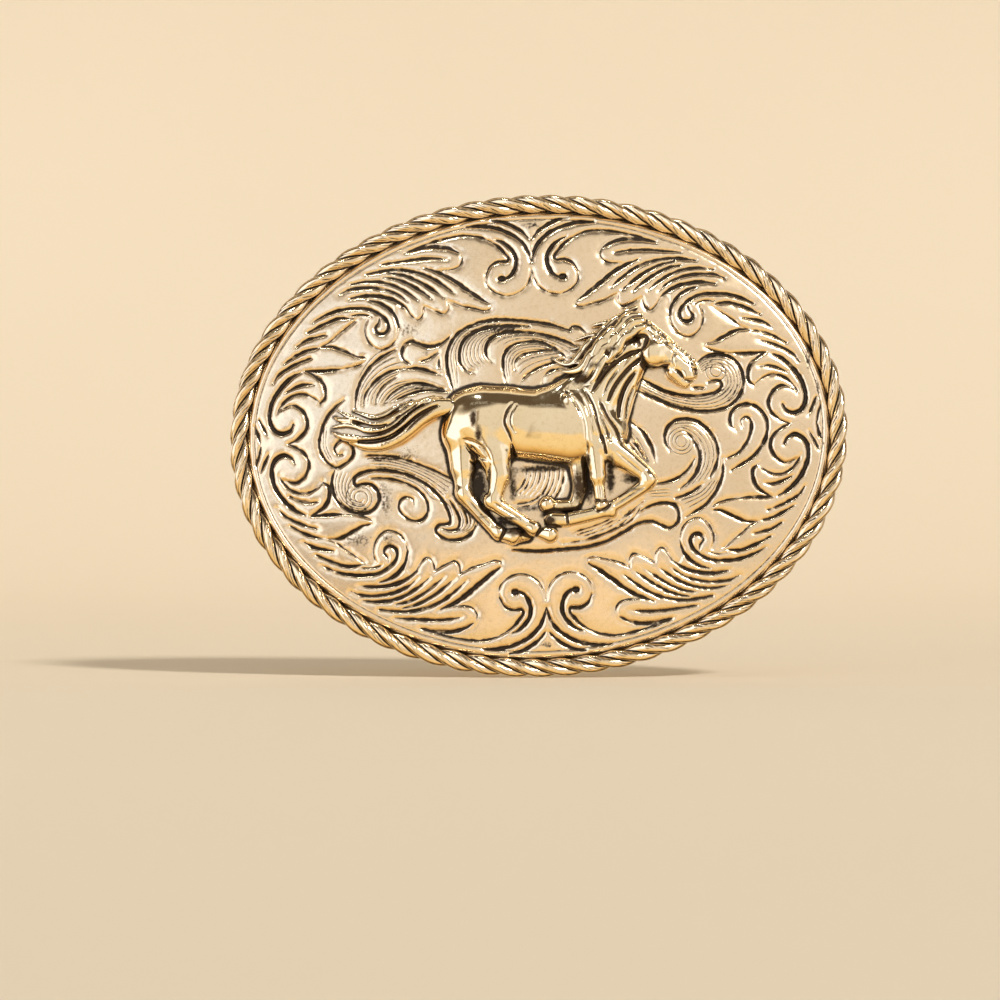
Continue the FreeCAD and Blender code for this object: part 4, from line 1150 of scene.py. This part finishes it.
def plated_metal(name, tones, roughness, bump, grime_and_shade=None):
    """Plated metal that drifts between two tones, with fine wear, and dark antiquing and painted shade where
    the mesh says.
    """
    light, deep = tones
    material, nodes, links, surface = shader(name)
    place = nodes.new("ShaderNodeTexCoord").outputs["Object"]
    drift = noise(nodes, links, place, DRIFT_SCALE, 2)
    grain = noise(nodes, links, place, GRAIN_SCALE, 4, 0.7)
    scuff = noise(nodes, links, place, SCUFF_SCALE, 5, 0.75)
    tone = ramp(nodes, links, drift, [(0.3, deep), (0.7, light)])
    flecks = ramp(nodes, links, grain, [(0.30, FLECK_TONE), (0.5, (1, 1, 1))])
    product = nodes.new("ShaderNodeMix")
    product.data_type = "RGBA"
    product.blend_type = "MULTIPLY"
    product.inputs["Factor"].default_value = FLECK_SHARE
    links.new(tone, product.inputs[COLOUR_A])
    links.new(flecks, product.inputs[COLOUR_B])
    colour = product.outputs[MIXED_COLOUR]
    rough = scale_value(nodes, links, scuff, roughness * 0.72, roughness * 1.35)
    if grime_and_shade:
        # The attribute holds antiquing and stains together with painted shade and painted dark reflections,
        # and the grain frays its edge.
        attribute = nodes.new("ShaderNodeAttribute")
        attribute.attribute_name = "patina_and_shade"
        worn = nodes.new("ShaderNodeMath")
        worn.operation = "MULTIPLY_ADD"
        links.new(grain, worn.inputs[0])
        worn.inputs[1].default_value = PATINA_AND_SHADE_GRAIN
        worn.inputs[2].default_value = -PATINA_AND_SHADE_GRAIN / 2
        sum_up = nodes.new("ShaderNodeMath")
        sum_up.operation = "ADD"
        links.new(attribute.outputs["Fac"], sum_up.inputs[0])
        links.new(worn.outputs[0], sum_up.inputs[1])
        share = ramp(nodes, links, sum_up.outputs[0], [(0.30, (0, 0, 0)), (0.70, (1, 1, 1))])
        colour = mix_colours(nodes, links, share, colour, grime_and_shade)
        blend = nodes.new("ShaderNodeMix")
        links.new(share, blend.inputs["Factor"])
        links.new(rough, blend.inputs[NUMBER_A])
        blend.inputs[NUMBER_B].default_value = GRIME_AND_SHADE_ROUGHNESS
        rough = blend.outputs[0]
        metal = scale_value(nodes, links, share, 1.0, GRIME_AND_SHADE_METALLIC)
        links.new(metal, surface.inputs["Metallic"])
    else:
        surface.inputs["Metallic"].default_value = 1.0
    links.new(colour, surface.inputs["Base Color"])
    links.new(rough, surface.inputs["Roughness"])
    relief = nodes.new("ShaderNodeBump")
    relief.inputs["Strength"].default_value = bump
    relief.inputs["Distance"].default_value = SCUFF_DEPTH
    links.new(scuff, relief.inputs["Height"])
    links.new(relief.outputs["Normal"], surface.inputs["Normal"])
    return material


def dress(piece, material):
    piece.data.materials.clear()
    piece.data.materials.append(material)


# ---------------------------------------------------------------- stage, lights and camera

CAMERA_ELEVATION = -4.5
CAMERA_ROLL = 2.4
CAMERA_DISTANCE = 0.5
CAMERA_WIDTH = 0.156
CAMERA_TARGET = Vector((-0.0065, -0.004, -0.01015))
SENSOR_WIDTH = 36

# The stage, in millimetres, with a slight lean so that the floor shows level to a camera that looks up.
FLOOR_LEAN = 4.0
STAGE_FRONT, STAGE_WALL, STAGE_TOP, STAGE_BEND = -1500.0, 900.0, 1600.0, 420.0
STAGE_HALF_WIDTH = 1600
BEND_STEPS = 24
PAPER_DEEP, PAPER_LIGHT = (0.87, 0.735, 0.535), (0.89, 0.755, 0.555)


def make_stage(contact_pieces):
    """A pale seamless sweep, a floor that curves up into a backdrop, level in the camera's view."""
    lean, roll = math.radians(FLOOR_LEAN), math.radians(CAMERA_ROLL)
    turn = np.array(Euler((lean, 0, 0)).to_matrix() @ Euler((0, roll, 0)).to_matrix())
    up = turn[:, 2]
    lowest = min((mesh_points(piece) @ up).min() for piece in contact_pieces) / MM
    foot = STAGE_WALL - STAGE_BEND
    profile = [(STAGE_FRONT, 0.0), (foot, 0.0)]
    for i in range(1, BEND_STEPS + 1):
        angle = math.pi / 2 * i / BEND_STEPS
        profile.append((foot + STAGE_BEND * math.sin(angle), STAGE_BEND * (1 - math.cos(angle))))
    profile.append((STAGE_WALL, STAGE_TOP))
    sides = np.linspace(-STAGE_HALF_WIDTH, STAGE_HALF_WIDTH, 3)
    vertices = np.array([(x, y, z) for y, z in profile for x in sides]) @ turn.T + up * lowest
    sweep = make_piece("backdrop", vertices, grid_faces(len(profile), sides.size))
    material, nodes, links, surface = shader("backdrop_paper")
    place = nodes.new("ShaderNodeTexCoord").outputs["Object"]
    tone = noise(nodes, links, place, 3, 2)
    links.new(
        ramp(nodes, links, tone, [(0.3, PAPER_DEEP), (0.7, PAPER_LIGHT)]),
        surface.inputs["Base Color"],
    )
    surface.inputs["Roughness"].default_value = 0.85
    dress(sweep, material)
    sweep.visible_glossy = False


def mesh_points(piece):
    points = np.empty(len(piece.data.vertices) * 3, np.float32)
    piece.data.vertices.foreach_get("co", points)
    return points.reshape(-1, 3)


def area_light(name, place, size, power, colour):
    """A rectangular lamp that faces the origin and shows only as a highlight."""
    data = bpy.data.lights.new(name, "AREA")
    data.shape = "RECTANGLE"
    data.size, data.size_y = size
    data.energy = power
    data.color = colour
    light = bpy.data.objects.new(name, data)
    light.location = place
    light.rotation_euler = (-Vector(place)).to_track_quat("-Z", "Y").to_euler()
    light.visible_camera = False
    light.visible_diffuse = False
    bpy.context.scene.collection.objects.link(light)
    return light


def make_lights(plate_pieces):
    """A soft sun for the stage, lamps for highlights, and a cool and a warm lamp for plate and rope only."""
    sun_data = bpy.data.lights.new("sun", "SUN")
    sun_data.energy = 1.9
    sun_data.angle = math.radians(9)
    sun_data.color = (1, 0.98, 0.97)
    sun = bpy.data.objects.new("sun", sun_data)
    sun.rotation_euler = Vector((-0.55, 0.70, -0.62)).to_track_quat("-Z", "Y").to_euler()
    sun.visible_glossy = False
    bpy.context.scene.collection.objects.link(sun)
    area_light("key", (0.42, -0.42, 0.40), (0.16, 0.16), 2.0, (0.96, 0.98, 1.0))
    area_light("top", (-0.12, -0.20, 0.52), (0.10, 0.018), 0.35, (0.92, 0.98, 1.0))
    side = area_light("side", (-0.19, -0.56, 0.13), (0.22, 0.30), 0.19, (0.50, 0.69, 1.0))
    under = area_light("under", (0, -0.58, -0.16), (0.35, 0.08), 0.035, (1, 0.62, 0.18))
    receivers = bpy.data.collections.new("plate_receivers")
    for piece in plate_pieces:
        receivers.objects.link(piece)
    for lamp in (side, under):
        lamp.light_linking.receiver_collection = receivers


# What the metal reflects, by the angle in degrees up from straight in front, over the top and underneath.
ROOM = [
    (-180, (0.60, 0.50, 0.37)), (-128, (0.62, 0.47, 0.27)), (-112, (0.06, 0.045, 0.03)),
    (-90, (0.06, 0.045, 0.03)),
    (-82, (0.55, 0.30, 0.09)), (-66, (0.92, 0.61, 0.24)), (-52, (1.00, 0.78, 0.44)),
    (-21, (1.05, 0.83, 0.50)),
    (-14, (0.84, 0.78, 0.71)), (40, (0.86, 0.80, 0.73)), (48, (0.12, 0.09, 0.06)), (84, (0.12, 0.09, 0.06)),
    (89, (1.15, 1.05, 0.9)), (94, (0.95, 0.78, 0.55)), (100, (0.46, 0.33, 0.17)), (114, (0.34, 0.24, 0.12)),
    (130, (0.48, 0.38, 0.25)), (165, (0.9, 0.8, 0.65)), (179, (0.60, 0.50, 0.37)),
]
# How much of a bright panel stands in each direction, by the angle from straight in front towards +X.
PANELS = [
    (-84, 0), (-78, 1), (-27, 1), (-21, 0), (40, 0), (46, 0.4), (66, 0.4), (74, 0), (128, 0), (138, 0.7),
    (158, 0.7), (166, 0), (-150, 0), (-142, 0.7), (-118, 0.7), (-110, 0),
]
PANEL_HEIGHTS = [(-36, 0), (-26, 1), (36, 1), (41, 0), (136, 0), (144, 1), (176, 1)]
PANEL_COLOUR = (1.45, 1.48, 1.68)
# A dim curtain beside the left panel.
CURTAIN = [(-23, 0), (-19, 1), (-15, 1), (-10, 0)]
CURTAIN_COLOUR = (0.34, 0.26, 0.17)
# What lights the matt surfaces evenly, and what the camera sees past the stage.
EVEN_LIGHT = (0.42, 0.42, 0.42)
BEYOND_STAGE = (0.88, 0.745, 0.52)


def around(stops):
    """Ramp stops from angles in degrees, with -180 at the ramp's start and 180 at its end."""
    grey = [(a, (v, v, v)) if isinstance(v, (int, float)) else (a, v) for a, v in stops]
    return [(a / 360 + 0.5, colour) for a, colour in sorted(grey)]


def make_world():
    """A studio for the metal to reflect: tan room, warm floor, dark ceiling, bright panels and a curtain."""
    world = bpy.data.worlds.new("studio")
    world.use_nodes = True
    nodes, links = world.node_tree.nodes, world.node_tree.links
    split = nodes.new("ShaderNodeSeparateXYZ")
    links.new(nodes.new("ShaderNodeTexCoord").outputs["Generated"], split.inputs[0])

    def calculate(operation, first, second, third=0.0):
        node = nodes.new("ShaderNodeMath")
        node.operation = operation
        for value, socket in zip((first, second, third), node.inputs):
            if isinstance(value, (int, float)):
                socket.default_value = value
            else:
                links.new(value, socket)
        return node.outputs[0]

    towards = calculate("MULTIPLY", split.outputs["Y"], -1)
    upwards = calculate("ARCTAN2", split.outputs["Z"], towards)
    sideways = calculate("ARCTAN2", split.outputs["X"], towards)
    upwards = calculate("MULTIPLY_ADD", upwards, 1 / FULL_TURN, 0.5)
    sideways = calculate("MULTIPLY_ADD", sideways, 1 / FULL_TURN, 0.5)
    room = ramp(nodes, links, upwards, around(ROOM))
    panel = ramp(nodes, links, sideways, around(PANELS))
    panel_height = ramp(nodes, links, upwards, around(PANEL_HEIGHTS))
    share = calculate("MULTIPLY", panel, panel_height)
    curtain = ramp(nodes, links, sideways, around(CURTAIN))
    curtain_share = calculate("MULTIPLY", curtain, panel_height)
    seen = mix_colours(nodes, links, share, room, PANEL_COLOUR)
    seen = mix_colours(nodes, links, curtain_share, seen, CURTAIN_COLOUR)
    path = nodes.new("ShaderNodeLightPath")
    even = mix_colours(nodes, links, path.outputs["Is Diffuse Ray"], seen, EVEN_LIGHT)
    shown = mix_colours(nodes, links, path.outputs["Is Camera Ray"], even, BEYOND_STAGE)
    links.new(shown, nodes["Background"].inputs["Color"])
    bpy.context.scene.world = world


def make_camera():
    """Looks at the face from a little below its middle, tilted as the buckle is seen."""
    roll = math.radians(CAMERA_ROLL)
    elevation = math.radians(CAMERA_ELEVATION)
    data = bpy.data.cameras.new("camera")
    data.sensor_width = SENSOR_WIDTH
    data.lens = SENSOR_WIDTH * CAMERA_DISTANCE / CAMERA_WIDTH
    camera = bpy.data.objects.new("camera", data)
    back = Vector((0, -math.cos(elevation), math.sin(elevation)))
    aim = (-back).to_track_quat("-Z", "Y")
    aim = Quaternion(back, -roll) @ aim
    camera.rotation_mode = "QUATERNION"
    camera.rotation_quaternion = aim
    camera.location = CAMERA_TARGET + back * CAMERA_DISTANCE
    data.clip_start = 0.01
    data.clip_end = 20
    bpy.context.scene.collection.objects.link(camera)
    bpy.context.scene.camera = camera


# ---------------------------------------------------------------- the build

relief_height, relief_dark = make_relief()
horse, horse_axes, horse_field = make_horse()
# Painted shade on the plate where the horse meets it.
relief_dark = np.maximum(relief_dark, contact_shade(horse_axes, horse_field))

plate = make_plate(relief_height, relief_dark)
strands = [make_strand(f"rope_{letter}", FULL_TURN * i / ROPE_STRANDS) for i, letter in enumerate("abc")]

plate_gold = plated_metal("satin_gold", SATIN_TONES, 0.24, 0.25, GRIME_AND_SHADE)
rope_gold = plated_metal("rope_gold", ROPE_TONES, 0.14, 0.12, GRIME_AND_SHADE)
horse_gold = plated_metal("polished_gold", POLISHED_TONES, 0.10, 0.10, WARM_GRIME_AND_SHADE)
hardware_gold = plated_metal("dull_gold", HARDWARE_TONES, 0.34, 0.5)
pin_steel = plated_metal("turned_steel", STEEL_TONES, 0.26, 0.4)

dress(plate, plate_gold)
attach(plate, "buckle")
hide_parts("face_plate")
dress(horse, horse_gold)
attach(horse, "buckle")
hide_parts("horse_figure")
for strand, letter in zip(strands, "abc"):
    dress(strand, rope_gold)
    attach(strand, "buckle")
    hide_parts(f"rope_strand_{letter}")
for node in ("hinge_bracket", "bail", "stud_base", "belt_stud"):
    dress(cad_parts[node], hardware_gold)
dress(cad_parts["hinge_pin"], pin_steel)

make_stage(strands)
make_lights([plate, *strands])
make_world()
make_camera()
bpy.context.scene.view_settings.view_transform = "Standard"
